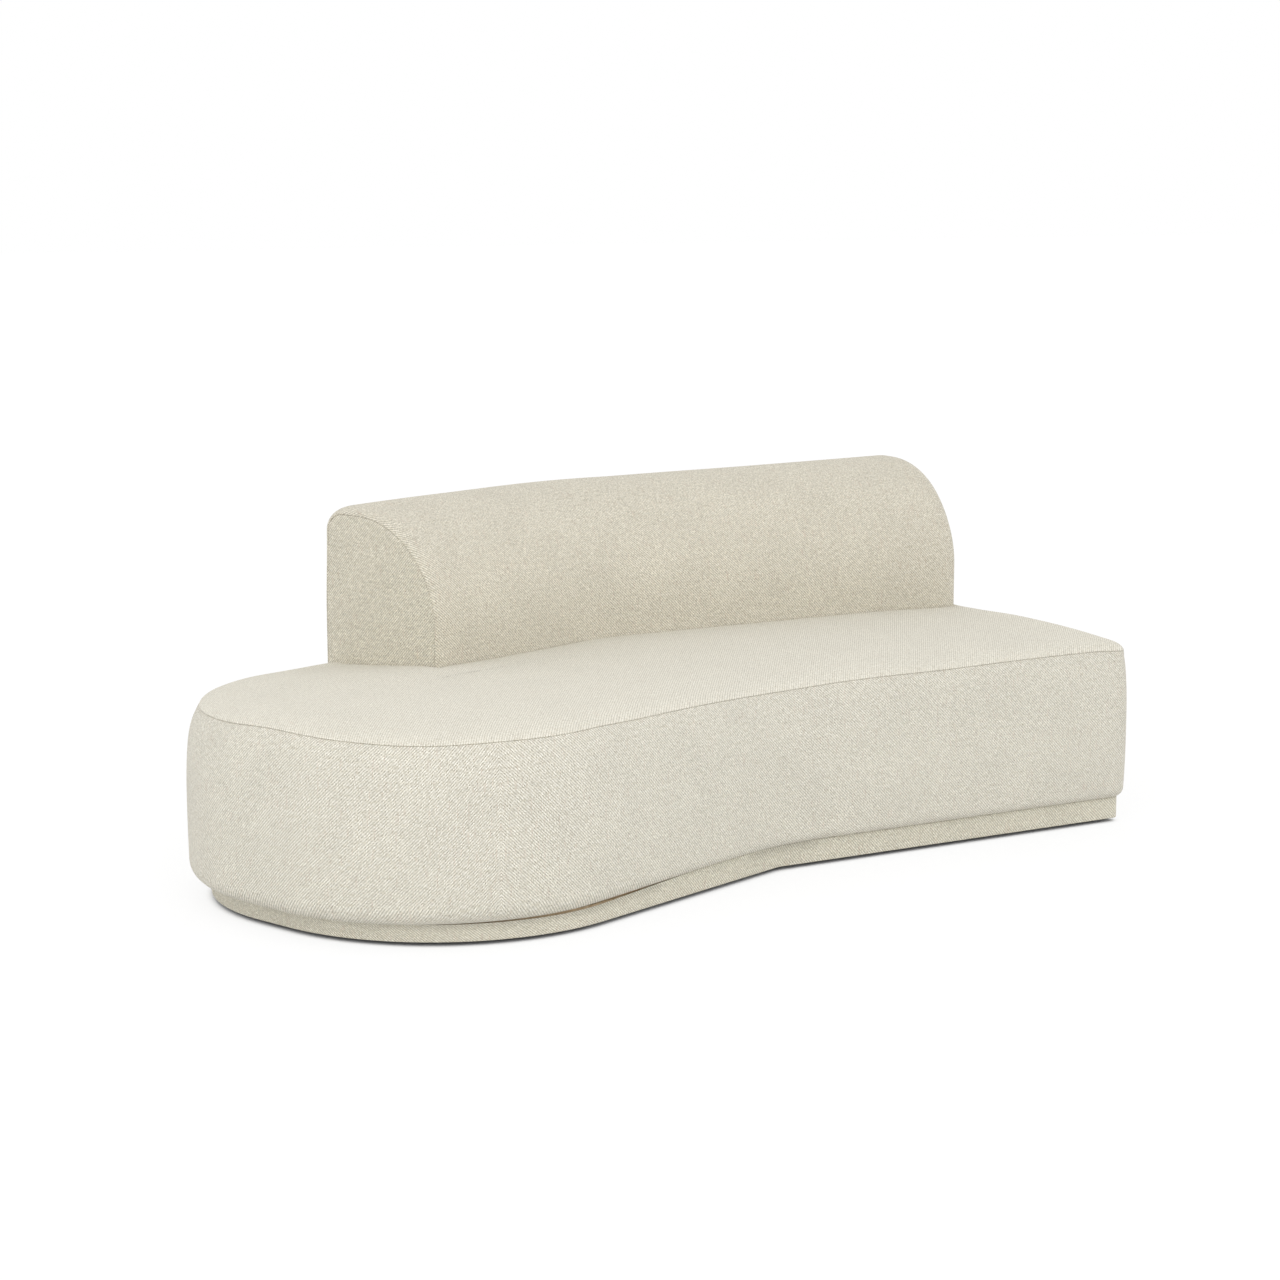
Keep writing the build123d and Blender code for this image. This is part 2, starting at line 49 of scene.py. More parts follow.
# small shader wrapper: sums and products of sockets add their own Math nodes
class Shade:
    def __init__(self, tree, socket=None):
        self.tree = tree
        self.socket = socket

    def node(self, kind, settings=None, inputs=None, output=0):
        made = self.tree.nodes.new(kind)
        for key, value in (settings or {}).items():
            setattr(made, key, value)
        for key, value in (inputs or {}).items():
            if isinstance(value, Shade):
                self.tree.links.new(value.socket, made.inputs[key])
            else:
                made.inputs[key].default_value = value
        return Shade(self.tree, made.outputs[output] if made.outputs else None)

    # another output of the same node
    def sister(self, output):
        return Shade(self.tree, self.socket.node.outputs[output])

    def calc(self, operation, first, second=0.0):
        return self.node("ShaderNodeMath", {"operation": operation}, {0: first, 1: second})

    __add__, __radd__ = mathOn("ADD"), mathOn("ADD", True)
    __sub__, __rsub__ = mathOn("SUBTRACT"), mathOn("SUBTRACT", True)
    __mul__, __rmul__ = mathOn("MULTIPLY"), mathOn("MULTIPLY", True)
    __truediv__, __mod__ = mathOn("DIVIDE"), mathOn("FLOORED_MODULO")
    __lt__, __gt__ = mathOn("LESS_THAN"), mathOn("GREATER_THAN")

    def floor(self):
        return self.calc("FLOOR", self)

    def fract(self):
        return self.calc("FRACT", self)

    def sine(self):
        return self.calc("SINE", self)

    def point(self, x, y, z=0.0):
        return self.node("ShaderNodeCombineXYZ", None, {0: x, 1: y, 2: z})

    def split(self):
        x = self.node("ShaderNodeSeparateXYZ", None, {0: self})
        return x, x.sister(1), x.sister(2)

    def fuzz(self, where, scale, detail=2.0, rough=0.5):
        inputs = {"Vector": where, "Scale": scale, "Detail": detail, "Roughness": rough}
        return self.node("ShaderNodeTexNoise", {"noise_dimensions": "3D"}, inputs)

    def cells(self, where, scale):
        return self.node("ShaderNodeTexVoronoi", None, {"Vector": where, "Scale": scale})

    def ranged(self, value, low, high, toLow=0.0, toHigh=1.0):
        inputs = {0: value, 1: low, 2: high, 3: toLow, 4: toHigh}
        return self.node("ShaderNodeMapRange", {"clamp": True}, inputs)

    def mixed(self, share, first, second, blend="MIX"):
        first, second = [c if isinstance(c, Shade) else (*c, 1) for c in (first, second)]
        settings = {"data_type": "RGBA", "blend_type": blend}
        return self.node("ShaderNodeMix", settings, {0: share, 6: first, 7: second}, 2)

    def bump(self, strength, distance, height):
        inputs = {"Strength": strength, "Distance": distance, "Height": height}
        return self.node("ShaderNodeBump", None, inputs)


def plug(shade, socket):
    shade.tree.links.new(shade.socket, socket)


def newMaterial(name, colour, rough, constants=None):
    made = bpy.data.materials.new(name)
    made.use_nodes = True
    made.diffuse_color = (*colour, 1)
    surface = made.node_tree.nodes["Principled BSDF"]
    surface.inputs["Base Color"].default_value = (*colour, 1)
    surface.inputs["Roughness"].default_value = rough
    for key, value in (constants or {}).items():
        surface.inputs[key].default_value = value
    return made, Shade(made.node_tree), surface.inputs


# oatmeal upholstery: two-over-one twill of heathered yarn, drawn on the pieces' own weave map in metres
cloth = {
    "pitch": 0.0021,  # one yarn
    "sway": 0.0016,  # the yarns don't run dead straight
    "swayScale": 26.0,
    "toneScale": 140.0,  # how quickly a yarn changes colour along its length
    "warpLight": (0.900, 0.875, 0.790),
    "warpDark": (0.690, 0.650, 0.540),
    "weftLight": (0.690, 0.655, 0.550),
    "weftDark": (0.330, 0.300, 0.230),
    "rose": (0.700, 0.585, 0.500),
    "sage": (0.520, 0.540, 0.430),
    "mean": (0.590, 0.564, 0.488),  # what the weave averages to
    "slubScale": (60.0, 170.0),  # thicker places in the yarn, along it and across it
    "fibreScale": 900.0,
    "bump": 0.0008,
    "rough": 0.92,
    "sheen": 0.10,
}


def upholstery(name, gap, tint, calm, slub=0.0):
    constants = {"Sheen Weight": cloth["sheen"], "Sheen Roughness": 0.5, "Specular IOR Level": 0.2}
    made, s, socket = newMaterial(name, cloth["warpDark"], cloth["rough"], constants)
    flat = s.node("ShaderNodeUVMap", {"uv_map": "weave"})
    u, v = flat.split()[:2]
    sway = s.fuzz(flat, cloth["swayScale"], 2.0) * cloth["sway"]
    a = (u + sway) / cloth["pitch"]
    b = (v + sway) / cloth["pitch"]
    i, j = a.floor(), b.floor()
    over = ((i + j) % 3.0) < 2.0  # warp shows on top
    acrossWarp = a.fract() * 2.0 - 1.0
    acrossWeft = b.fract() * 2.0 - 1.0
    warpArch = (((b + i) % 3.0) * (math.pi / 2)).sine()
    weftArch = (((a + j) % 3.0 - 2.0) * math.pi).sine()
    warpHeight = (1.0 - acrossWarp * acrossWarp) * (0.5 + 0.5 * warpArch)
    weftHeight = (1.0 - acrossWeft * acrossWeft) * (0.3 + 0.4 * weftArch)
    height = over * warpHeight + (1.0 - over) * weftHeight
    # heathering: each yarn changes colour along its own length, and each float is a little its own
    warpTone = s.fuzz(s.point(i * 0.731, v * cloth["toneScale"], 3.0), 1.0, 3.0, 0.6)
    weftTone = s.fuzz(s.point(u * cloth["toneScale"], j * 0.731, 9.0), 1.0, 3.0, 0.6)
    warp = s.mixed(s.ranged(warpTone, 0.36, 0.60), cloth["warpDark"], cloth["warpLight"])
    weft = s.mixed(s.ranged(weftTone, 0.36, 0.62), cloth["weftDark"], cloth["weftLight"])
    base = s.mixed(over, weft, warp)
    roseYarn = s.fuzz(s.point(i * 0.917, v * 24.0, 21.0), 1.0, 1.0)
    sageYarn = s.fuzz(s.point(u * 22.0, j * 0.883, 33.0), 1.0, 1.0)
    base = s.mixed(s.ranged(roseYarn, 0.62, 0.72) * over * 0.6, base, cloth["rose"])
    base = s.mixed(s.ranged(sageYarn, 0.60, 0.70) * (1.0 - over) * 0.7, base, cloth["sage"])
    grain = s.node("ShaderNodeTexWhiteNoise", {"noise_dimensions": "3D"}, {"Vector": s.point(i, j, over)})
    cloudy = s.ranged(s.fuzz(flat, 9.0, 3.0), 0.3, 0.7, 0.965, 1.02)
    # painted shade: the gaps between yarns are darkened by their height, down to gap, then times the random
    # tone of each float and of the cloth
    yarnShadeAndTone = s.ranged(height, 0.0, 0.6, gap, 1.0) * s.ranged(grain, 0.0, 1.0, 0.84, 1.08) * cloudy
    if slub:
        alongYarn, acrossYarn = cloth["slubScale"]
        streak = s.fuzz(s.point(u * alongYarn, v * acrossYarn, 5.0), 1.0, 2.0)
        yarnShadeAndTone = yarnShadeAndTone * s.ranged(streak, 0.3, 0.7, 1.0 - slub, 1.0 + slub)
    # the tint paints light or shade into this piece's copy of the fabric
    shading = s.node("ShaderNodeCombineColor", None, {k: yarnShadeAndTone * tint[k] for k in range(3)})
    face = s.mixed(1.0, base, shading, "MULTIPLY")
    brushed = [level * share for level, share in zip(cloth["mean"], tint)]
    plug(s.mixed(calm, face, brushed), socket["Base Color"])
    fibre = s.fuzz(s.point(u * cloth["fibreScale"], v * cloth["fibreScale"]), 1.0, 2.0)
    plug(s.ranged(fibre, 0.3, 0.7, 0.86, 0.98), socket["Roughness"])
    plug(s.bump(0.6, cloth["bump"], height + fibre * 0.25), socket["Normal"])
    return made


# the seat's nap lies flatter, and the tints paint light and shade into copies of one fabric:
# lighter on the seat top, darker and warmer on the backrest and its end panels, lifted on the plinth.
# Columns: painted shade in the gaps between yarns, tint, share of brushed plain colour, slubs
sideTwill = upholstery("oatmealTwill", 0.52, (1.075, 1.075, 1.075), 0.10, 0.03)
topTwill = upholstery("oatmealTwillSeat", 0.68, (1.125, 1.125, 1.125), 0.40, 0.03)
backTwill = upholstery("oatmealTwillBack", 0.52, (1.04, 1.02, 0.985), 0.04, 0.043)
endTwill = upholstery("oatmealTwillEnd", 0.52, (1.01, 0.995, 0.955), 0.0, 0.10)
plinthTwill = upholstery("oatmealTwillPlinth", 0.50, (1.075, 1.07, 1.03), 0.05)


# hidden and small finishes
finishes = {
    "foam": {
        "colour": (0.86, 0.80, 0.60),
        "rough": 0.95,
        "aged": (0.80, 0.70, 0.45),
        "poreShade": (0.55, 0.47, 0.30),
    },
    "sheet": {"colour": (0.016, 0.016, 0.017), "rough": 0.9, "fibre": (0.05, 0.05, 0.052)},
    "strap": {"colour": (0.13, 0.11, 0.09), "rough": 0.85, "rib": (0.26, 0.22, 0.17)},
    "ply": {
        "colour": (0.70, 0.53, 0.33),
        "rough": 0.62,
        "early": (0.78, 0.62, 0.42),
        "late": (0.58, 0.41, 0.24),
        "edge": (0.40, 0.27, 0.15),
        "layer": 0.0028,
    },
    "zinc": {"colour": (0.60, 0.61, 0.62), "rough": 0.34, "dull": (0.52, 0.53, 0.52)},
    "nylon": {"colour": (0.022, 0.022, 0.024), "rough": 0.5, "scuff": (0.09, 0.09, 0.09)},
    "thread": {
        "colour": (0.58, 0.545, 0.455),
        "rough": 0.8,
        "low": (0.50, 0.47, 0.39),
        "high": (0.64, 0.60, 0.51),
    },
}


def startFinish(kind, name, constants=None):
    look = finishes[kind]
    made, s, socket = newMaterial(name, look["colour"], look["rough"], constants)
    return look, made, s, socket, s.node("ShaderNodeTexCoord", None, None, 3)


def cutFoam():
    look, made, s, socket, where = startFinish("foam", "cutFoam")
    cells = s.cells(where, 520.0)
    tint = s.mixed(s.ranged(s.fuzz(where, 9.0), 0.3, 0.7, 0.0, 0.5), look["colour"], look["aged"])
    # painted shade: darker at the middle of each cell, in the open pores
    plug(s.mixed(s.ranged(cells, 0.0, 0.6, 0.45, 0.0), tint, look["poreShade"]), socket["Base Color"])
    plug(s.bump(0.4, 0.0006, cells), socket["Normal"])
    return made


def nonWoven():
    look, made, s, socket, where = startFinish("sheet", "nonWovenSheet")
    x, y = where.split()[:2]
    dimple = ((x * 2100.0).sine() * (y * 2100.0).sine() > 0.55) * 1.0
    fibres = s.fuzz(where, 700.0, 3.0)
    plug(s.mixed(dimple * 0.5 + fibres * 0.3, look["colour"], look["fibre"]), socket["Base Color"])
    plug(s.ranged(fibres, 0.3, 0.7, 0.75, 0.95), socket["Roughness"])
    plug(s.bump(0.4, 0.0003, fibres - dimple), socket["Normal"])
    return made


def elasticStrap():
    look, made, s, socket, where = startFinish("strap", "elasticStrap")
    x, y = where.split()[:2]
    rib = (x * 2600.0).sine() * (y * 1900.0).sine()
    plug(s.mixed(s.ranged(rib, -1.0, 1.0), look["colour"], look["rib"]), socket["Base Color"])
    plug(s.ranged(rib, -1.0, 1.0, 0.7, 0.9), socket["Roughness"])
    plug(s.bump(0.5, 0.0004, rib), socket["Normal"])
    return made


def birchPly(name, stretch, layers):
    look, made, s, socket, where = startFinish("ply", name)
    run = s.node("ShaderNodeMapping", None, {"Vector": where, "Scale": stretch})
    grain = s.fuzz(run, 14.0, 5.0, 0.62)
    wood = s.mixed(s.ranged(grain, 0.3, 0.7), look["early"], look["late"])
    if layers:  # boards that lie flat show their plies in the edge
        ply = (where.split()[2] / look["layer"]).fract() < 0.5
        facing = s.node("ShaderNodeNewGeometry", None, None, 1)
        upright = s.calc("ABSOLUTE", facing.split()[2]) < 0.5
        wood = s.mixed(ply * upright * 0.55, wood, look["edge"])
    plug(wood, socket["Base Color"])
    plug(s.ranged(grain, 0.3, 0.7, 0.52, 0.72), socket["Roughness"])
    plug(s.bump(0.2, 0.0003, grain), socket["Normal"])
    return made


def zincSteel():
    look, made, s, socket, where = startFinish("zinc", "zincSteel", {"Metallic": 1.0})
    plug(s.ranged(s.cells(where, 260.0), 0.0, 0.8, 0.26, 0.46), socket["Roughness"])
    plug(s.mixed(s.fuzz(where, 90.0), look["colour"], look["dull"]), socket["Base Color"])
    return made


def mouldedNylon():
    look, made, s, socket, where = startFinish("nylon", "mouldedNylon")
    spark = s.fuzz(where, 900.0, 2.0)
    scuff = s.ranged(s.fuzz(where, 120.0, 4.0), 0.55, 0.75)
    plug(s.mixed(scuff * 0.4, look["colour"], look["scuff"]), socket["Base Color"])
    plug(s.ranged(spark, 0.3, 0.7, 0.42, 0.6), socket["Roughness"])
    plug(s.bump(0.25, 0.0002, spark), socket["Normal"])
    return made


def spunThread():
    look, made, s, socket, where = startFinish("thread", "spunThread")
    twist = s.ranged(s.fuzz(where, 1600.0, 2.0), 0.3, 0.7)
    plug(s.mixed(twist, look["low"], look["high"]), socket["Base Color"])
    return made


foamLook, sheetLook, strapLook = cutFoam(), nonWoven(), elasticStrap()
flatPly = birchPly("birchPlyFlat", (1.0, 9.0, 9.0), True)
uprightPly = birchPly("birchPlyUpright", (9.0, 9.0, 1.0), False)
zincLook, nylonLook, threadLook = zincSteel(), mouldedNylon(), spunThread()
print("materials made")


# the plan of the sofa, in metres, as the frame has it
plan = {
    "straight": 0.892,
    "wing": 0.997,
    "bend": 19.7,
    "depth": 0.914,
    "tipFront": 0.443,
    "tipFlat": 0.086,
    "corner": 0.035,
    "leastCorner": 0.004,
    "frontBend": 0.700,
    "rearBend": 0.500,
    "step": 0.0075,
}
turn = math.radians(plan["bend"])
alongWing = np.array([-math.cos(turn), -math.sin(turn)])
acrossWing = np.array([-math.sin(turn), math.cos(turn)])
acrossBend = np.array([-math.sin(turn / 2), math.cos(turn / 2)]) / math.cos(turn / 2)
tipRear = plan["depth"] - plan["tipFront"] - plan["tipFlat"]
tipMiddle = plan["tipFront"] + plan["tipFlat"] / 2
rearRound = alongWing * (plan["wing"] - tipRear) + acrossWing * (plan["depth"] - tipRear)
frontRound = alongWing * (plan["wing"] - plan["tipFront"]) + acrossWing * plan["tipFront"]
leftReach, frontReach = rearRound[0] - tipRear, frontRound[1] - plan["tipFront"]
bendPoint = np.array([-(plan["straight"] + leftReach) / 2, -(plan["depth"] + frontReach) / 2])
rightEnd = bendPoint[0] + plan["straight"]
frontLine, rearLine = bendPoint[1], bendPoint[1] + plan["depth"]
middleLine = (frontLine + rearLine) / 2


def wingPoint(along, across):
    return bendPoint + alongWing * along + acrossWing * across


# how far along the wing and across it the points lie
def wingPlace(points):
    return (points - bendPoint) @ alongWing, (points - bendPoint) @ acrossWing


def smooth(low, high, value):
    t = np.clip((value - low) / (high - low), 0, 1)
    return t * t * (3 - 2 * t)


# rises over the first span and falls over the second
def between(rise, fall, value):
    return smooth(*rise, value) * (1 - smooth(*fall, value))


# grows from 0 to 1 towards the flat right end
def nearRight(points, far, close):
    return smooth(rightEnd - far, rightEnd - close, points[:, 0])


# a round hump over squared distances
def hump(gaps, spread):
    return np.exp(-gaps / spread**2)


# walks round corners with rounds, and gives points, outward normals and run lengths
def roundedLine(corners, radii, closed, step):
    count = len(corners)
    arcs = {}
    for k in range(count) if closed else range(1, count - 1):
        before = corners[k] - corners[k - 1]
        after = corners[(k + 1) % count] - corners[k]
        before = before / np.linalg.norm(before)
        after = after / np.linalg.norm(after)
        swing = math.atan2(before[0] * after[1] - before[1] * after[0], before @ after)
        arcs[k] = (before, after, swing, radii[k] * math.tan(abs(swing) / 2))
    points, normals = [], []
    for k in range(count if closed else count - 1):
        end = (k + 1) % count
        start = corners[k] + (arcs[k][1] * arcs[k][3] if k in arcs else 0)
        stop = corners[end] - (arcs[end][0] * arcs[end][3] if end in arcs else 0)
        run = stop - start
        length = np.linalg.norm(run)
        tangent = run / max(length, 1e-9)
        pieces = max(1, int(round(length / step)))
        for m in range(pieces):
            points.append(start + run * m / pieces)
            normals.append((tangent[1], -tangent[0]))
        if end in arcs:
            before, after, swing, reach = arcs[end]
            hand = 1.0 if swing > 0 else -1.0
            middle = stop + hand * radii[end] * np.array([-before[1], before[0]])
            steps = max(8, int(round(abs(swing) * radii[end] / step)))
            for m in range(steps):
                c, s = math.cos(swing * m / steps), math.sin(swing * m / steps)
                out = np.array([before[0] * s + before[1] * c, before[1] * s - before[0] * c])
                points.append(middle + hand * radii[end] * out)
                normals.append(out)
        elif not closed:
            points.append(stop)
            normals.append((tangent[1], -tangent[0]))
    points, normals = np.array(points), np.array(normals, float)
    gaps = np.linalg.norm(np.roll(points, -1, 0) - points, axis=1)
    runs = np.concatenate([[0], np.cumsum(gaps)])
    return points, normals, runs


def planLine(inset, tipInset, bendRadius, step):
    tip = plan["wing"] - tipInset
    corners = [
        np.array([rightEnd - inset, frontLine + inset]),
        np.array([rightEnd - inset, rearLine - inset]),
        bendPoint + acrossBend * (plan["depth"] - inset),
        wingPoint(tip, plan["depth"] - inset),
        wingPoint(tip, inset),
        bendPoint + acrossBend * inset,
    ]
    corner = max(plan["corner"] - inset, plan["leastCorner"])
    rounds = [plan["rearBend"] - inset, tipRear - inset, plan["tipFront"] - inset, bendRadius + inset]
    return roundedLine(corners, [corner, corner, *rounds], True, step)


def link(name, data):
    made = bpy.data.objects.new(name, data)
    bpy.context.scene.collection.objects.link(made)
    return made


# mesh from points, faces and a weave map that holds one place for each face corner
def addPiece(name, points, faces, weave, material):
    mesh = bpy.data.meshes.new(name)
    mesh.from_pydata([tuple(p) for p in points], [], [tuple(f) for f in faces])
    layer = mesh.uv_layers.new(name="weave")
    layer.data.foreach_set("uv", np.asarray(weave, np.float32).ravel())
    mesh.materials.append(material)
    mesh.polygons.foreach_set("use_smooth", [True] * len(mesh.polygons))
    mesh.update()
    return link(name, mesh)


# turns the whole skin round if its faces look towards the inside point
def faceOutwards(piece, inside=(0.0, 0.0, 0.0)):
    mesh = piece.data
    count = len(mesh.polygons)
    area, middle, normal = np.zeros(count), np.zeros(count * 3), np.zeros(count * 3)
    mesh.polygons.foreach_get("area", area)
    mesh.polygons.foreach_get("center", middle)
    mesh.polygons.foreach_get("normal", normal)
    flow = ((middle.reshape(-1, 3) - inside) * normal.reshape(-1, 3)).sum(1) @ area
    if flow < 0:
        mesh.flip_normals()
    return piece


def thicken(piece, thickness):
    wall = piece.modifiers.new("wadding", "SOLIDIFY")
    wall.thickness = thickness
    wall.offset = -1.0
    return piece


# rows of points as quads; a closed grid wraps round its columns, a tube wraps round its rows too
def gridFaces(rows, columns, closed, tube):
    r = np.arange(rows if tube else rows - 1)
    c = np.arange(columns if closed else columns - 1)
    rr, cc = np.meshgrid(r, c, indexing="ij")
    up, on = (rr + 1) % rows, (cc + 1) % columns
    faces = np.stack([rr * columns + cc, rr * columns + on, up * columns + on, up * columns + cc], -1)
    around = ((0, 0), (0, 1), (1, 1), (1, 0))
    corners = np.stack([np.stack([rr + down, cc + over], -1) for down, over in around], -2)
    return faces.reshape(-1, 4), corners.reshape(-1, 4, 2)


# slow unevenness of padding under a tight cover, pushed along the points' own normals
def uneven(points, normals, amount, size, seed):
    shift = np.array([noise.noise(Vector(p) / size + Vector((seed, seed * 0.7, 3.1))) for p in points])
    return points + normals * (shift * amount)[:, None]


# covers pulled over wadding: a short cloth run, held at the seams, that may move a point by the cap at most
wadding = {
    "frames": 16,
    "cap": 0.0026,
    "least": 0.25,  # share of the pressure where the filling is thinnest
    "size": 0.17,
    "cloth": {
        "quality": 4,
        "mass": 0.4,
        "vertex_group_mass": "held",
        "use_pressure": True,
        "uniform_pressure_force": 3.0,
        "vertex_group_pressure": "filling",
        "tension_stiffness": 15.0,
        "compression_stiffness": 15.0,
        "bending_stiffness": 2.0,
    },
}


def settle(piece, held, seed):
    mesh, scene = piece.data, bpy.context.scene
    before = np.zeros(len(mesh.vertices) * 3)
    mesh.vertices.foreach_get("co", before)
    before = before.reshape(-1, 3)
    pins = piece.vertex_groups.new(name="held")
    filling = piece.vertex_groups.new(name="filling")
    for k, (place, share) in enumerate(zip(before, held)):
        pins.add([k], float(share), "REPLACE")
        lump = 0.5 + 0.5 * noise.noise(Vector(place) / wadding["size"] + Vector((seed, 1.7, seed)))
        filling.add([k], wadding["least"] + (1 - wadding["least"]) * lump, "REPLACE")
    run = piece.modifiers.new("cloth", "CLOTH")
    run.collision_settings.use_collision = False
    for key, value in wadding["cloth"].items():
        setattr(run.settings, key, value)
    run.settings.effector_weights.gravity = 0.0
    run.point_cache.frame_start, run.point_cache.frame_end = 1, wadding["frames"]
    for step in range(1, wadding["frames"] + 1):
        scene.frame_set(step)
    graph = bpy.context.evaluated_depsgraph_get()
    after = np.zeros(len(mesh.vertices) * 3)
    piece.evaluated_get(graph).data.vertices.foreach_get("co", after)
    shift = after.reshape(-1, 3) - before
    far = np.linalg.norm(shift, axis=1)[:, None]
    shift = shift * wadding["cap"] * np.tanh(far / wadding["cap"]) / np.maximum(far, 1e-9)
    piece.modifiers.remove(run)
    piece.vertex_groups.clear()
    scene.frame_set(1)
    mesh.vertices.foreach_set("co", (before + shift).ravel())
    mesh.update()
    mean = np.linalg.norm(shift, axis=1).mean() * 1000
    print(piece.name, "settled, mean move in mm", round(float(mean), 2))


# seat side: rolled under at the foot, fullest at mid height, drawn in to the seam
side = {
    "foot": 0.0560,
    "rollStraight": 0.023,
    "rollTip": 0.038,
    "sagTip": 0.0119,  # the foot hangs lower round the tip
    "tipSpan": (0.15, 0.68),  # along the wing, where the foot changes
    "rightSpan": (0.10, 0.02),  # from the right end, where the seam changes
    "footDraw": 0.002,
    "belly": 0.200,
    "tipBelly": 0.0060,  # stands out low down at the far tip
    "bellySpan": (0.80, 0.99),
    "bellyTop": (0.22, 0.34),
    "seam": 0.385,
    "seamDraw": 0.0150,
    "tipDraw": 0.0120,  # drawn in further round the tip
    "drawSpan": (0.62, 0.98),
    "rightEase": 0.0050,  # and less at the flat right end
    "fullness": (4.5, 0.8, 1.5),  # how late the side turns in: even, more at the tip, less at the right
    "rows": (13, 19, 34),  # round the foot, up to the belly, up to the seam
    "rearDrop": 0.0050,  # the seam sits lower behind the wing
    "rearSpan": ((0.15, 0.45), (0.50, 0.80)),  # along the wing and across it
    "wander": (  # where the sewn line strays: along the wing, across it, spread, lift
        (0.00, 0.00, 0.20, -0.0085),
        (0.87, 0.18, 0.13, -0.0060),
        (0.97, 0.45, 0.09, 0.0050),
        (0.56, 0.02, 0.08, 0.0030),
        (-0.36, -0.13, 0.16, -0.0035),
        (-0.84, -0.30, 0.07, -0.0040),
    ),
    "groove": ((-0.0003, 0.0016), (0.0000, 0.0008), (0.0007, 0.0004), (0.0018, 0.0002)),  # inset, drop
    "foldWidth": 0.012,
    "foldLift": 0.0007,
    "lining": 0.012,
    "liningTop": 0.0005,
    "hem": ((0.0030, 0.0020), (0.0015, 0.0010)),  # past the roll, over the foot
    "unevenness": 0.0012,
    "lumps": (0.16, 4.0),  # size and seed
    "lumpSpan": ((0.05, 0.11), (0.345, 0.378)),  # heights where they come and go
    "pucker": 0.0008,  # gathers along the seam
    "puckerPitch": 14.0,
    "puckerSpan": (0.325, 0.372),
    "mirrorAngle": 30.0,  # round the tip, where the twill changes sides
    "freeSpan": ((0.07, 0.13), (0.33, 0.365)),  # heights that the cloth run may move
    "seed": 2.3,
}


def tipShare(points):
    return smooth(*side["tipSpan"], wingPlace(points)[0])


def rightShare(points):
    return nearRight(points, *side["rightSpan"])


def footLevel(points):
    return side["foot"] - side["sagTip"] * tipShare(points)


def seamDraw(points):
    tip = side["tipDraw"] * smooth(*side["drawSpan"], wingPlace(points)[0])
    return side["seamDraw"] + tip - side["rightEase"] * rightShare(points)


def seamHeight(points):
    along, across = wingPlace(points)
    alongSpan, acrossSpan = side["rearSpan"]
    level = side["seam"] - side["rearDrop"] * smooth(*alongSpan, along) * smooth(*acrossSpan, across)
    for atAlong, atAcross, spread, lift in side["wander"]:
        level = level + lift * hump((along - atAlong) ** 2 + (across - atAcross) ** 2, spread)
    return level


def seatSide():
    points, normals, runs = planLine(0.0, 0.0, plan["frontBend"], plan["step"])
    tip, right = tipShare(points), rightShare(points)
    roll = side["rollStraight"] + (side["rollTip"] - side["rollStraight"]) * tip
    foot, draw, seam = footLevel(points), seamDraw(points), seamHeight(points)
    even, moreTip, lessRight = side["fullness"]
    fullness = even + moreTip * tip - lessRight * right
    footDraw, belly, zeros = side["footDraw"], side["belly"], np.zeros(len(points))
    footRows, lowRows, highRows = side["rows"]
    rows = []
    for angle in np.radians(np.linspace(0, 90, footRows)):
        rows.append((footDraw + roll * (1 - math.sin(angle)), foot + roll * (1 - math.cos(angle))))
    top = foot + roll
    for share in np.linspace(0, 1, lowRows)[1:]:
        rows.append((zeros + footDraw * (1 - share) ** 2, top + (belly - top) * share))
    for share in np.linspace(0, 1, highRows)[1:-1]:
        z = belly + (seam - belly) * share
        fold = side["foldLift"] * smooth(side["foldWidth"], 0.6 * side["foldWidth"], seam - z)
        rows.append((draw * share**fullness - fold, z))
    padded = len(rows)
    rows += [(draw + inset, seam - drop) for inset, drop in side["groove"]]
    outer = len(rows)
    (hemIn, hemUp), (lipIn, lipUp) = side["hem"]
    innerLine = np.maximum(footDraw + roll + hemIn, draw + side["lining"])
    rows.append((innerLine, seam - side["liningTop"]))
    rows.append((innerLine, foot + hemUp))
    rows.append((footDraw + roll + lipIn, foot + lipUp))
    farTip = smooth(*side["bellySpan"], wingPlace(points)[0])
    skin = []
    for inset, z in rows:
        swell = side["tipBelly"] * farTip * (1 - smooth(*side["bellyTop"], z))
        skin.append(np.column_stack([points - normals * (inset - swell)[:, None], zeros + z]))
    skin = np.array(skin)
    out = np.column_stack([normals, zeros])
    pitch = side["puckerPitch"]
    pucker = np.array([noise.noise(Vector((r * pitch, 5.3, 0.0))) for r in runs[:-1]]) * side["pucker"]
    for row in range(padded):
        level = skin[row][:, 2].mean()
        lump = side["unevenness"] * between(*side["lumpSpan"], level)
        gather = pucker * smooth(*side["puckerSpan"], level)
        skin[row] = uneven(skin[row], out, lump, *side["lumps"]) + out * gather[:, None]
    faces, corners = gridFaces(len(rows), len(points), True, True)
    climbs = np.concatenate([[0], np.cumsum(np.linalg.norm(np.diff(skin, axis=0), axis=2).mean(1))])
    climbs = np.append(climbs, climbs[-1] + 0.01)
    mirror = math.radians(side["mirrorAngle"])
    ray = alongWing * math.sin(mirror) - acrossWing * math.cos(mirror)
    place = bendPoint + frontRound + plan["tipFront"] * ray
    foldAt = runs[np.argmin(np.linalg.norm(points - place, axis=1))]
    weave = np.stack([np.abs(runs[corners[..., 1]] - foldAt), climbs[corners[..., 0]]], -1)
    made = faceOutwards(addPiece("seatSideBand", skin.reshape(-1, 3), faces, weave, sideTwill))
    free = between(*side["freeSpan"], skin[..., 2])
    free[outer:] = 0
    settle(made, 1 - free.ravel(), side["seed"])
    return made


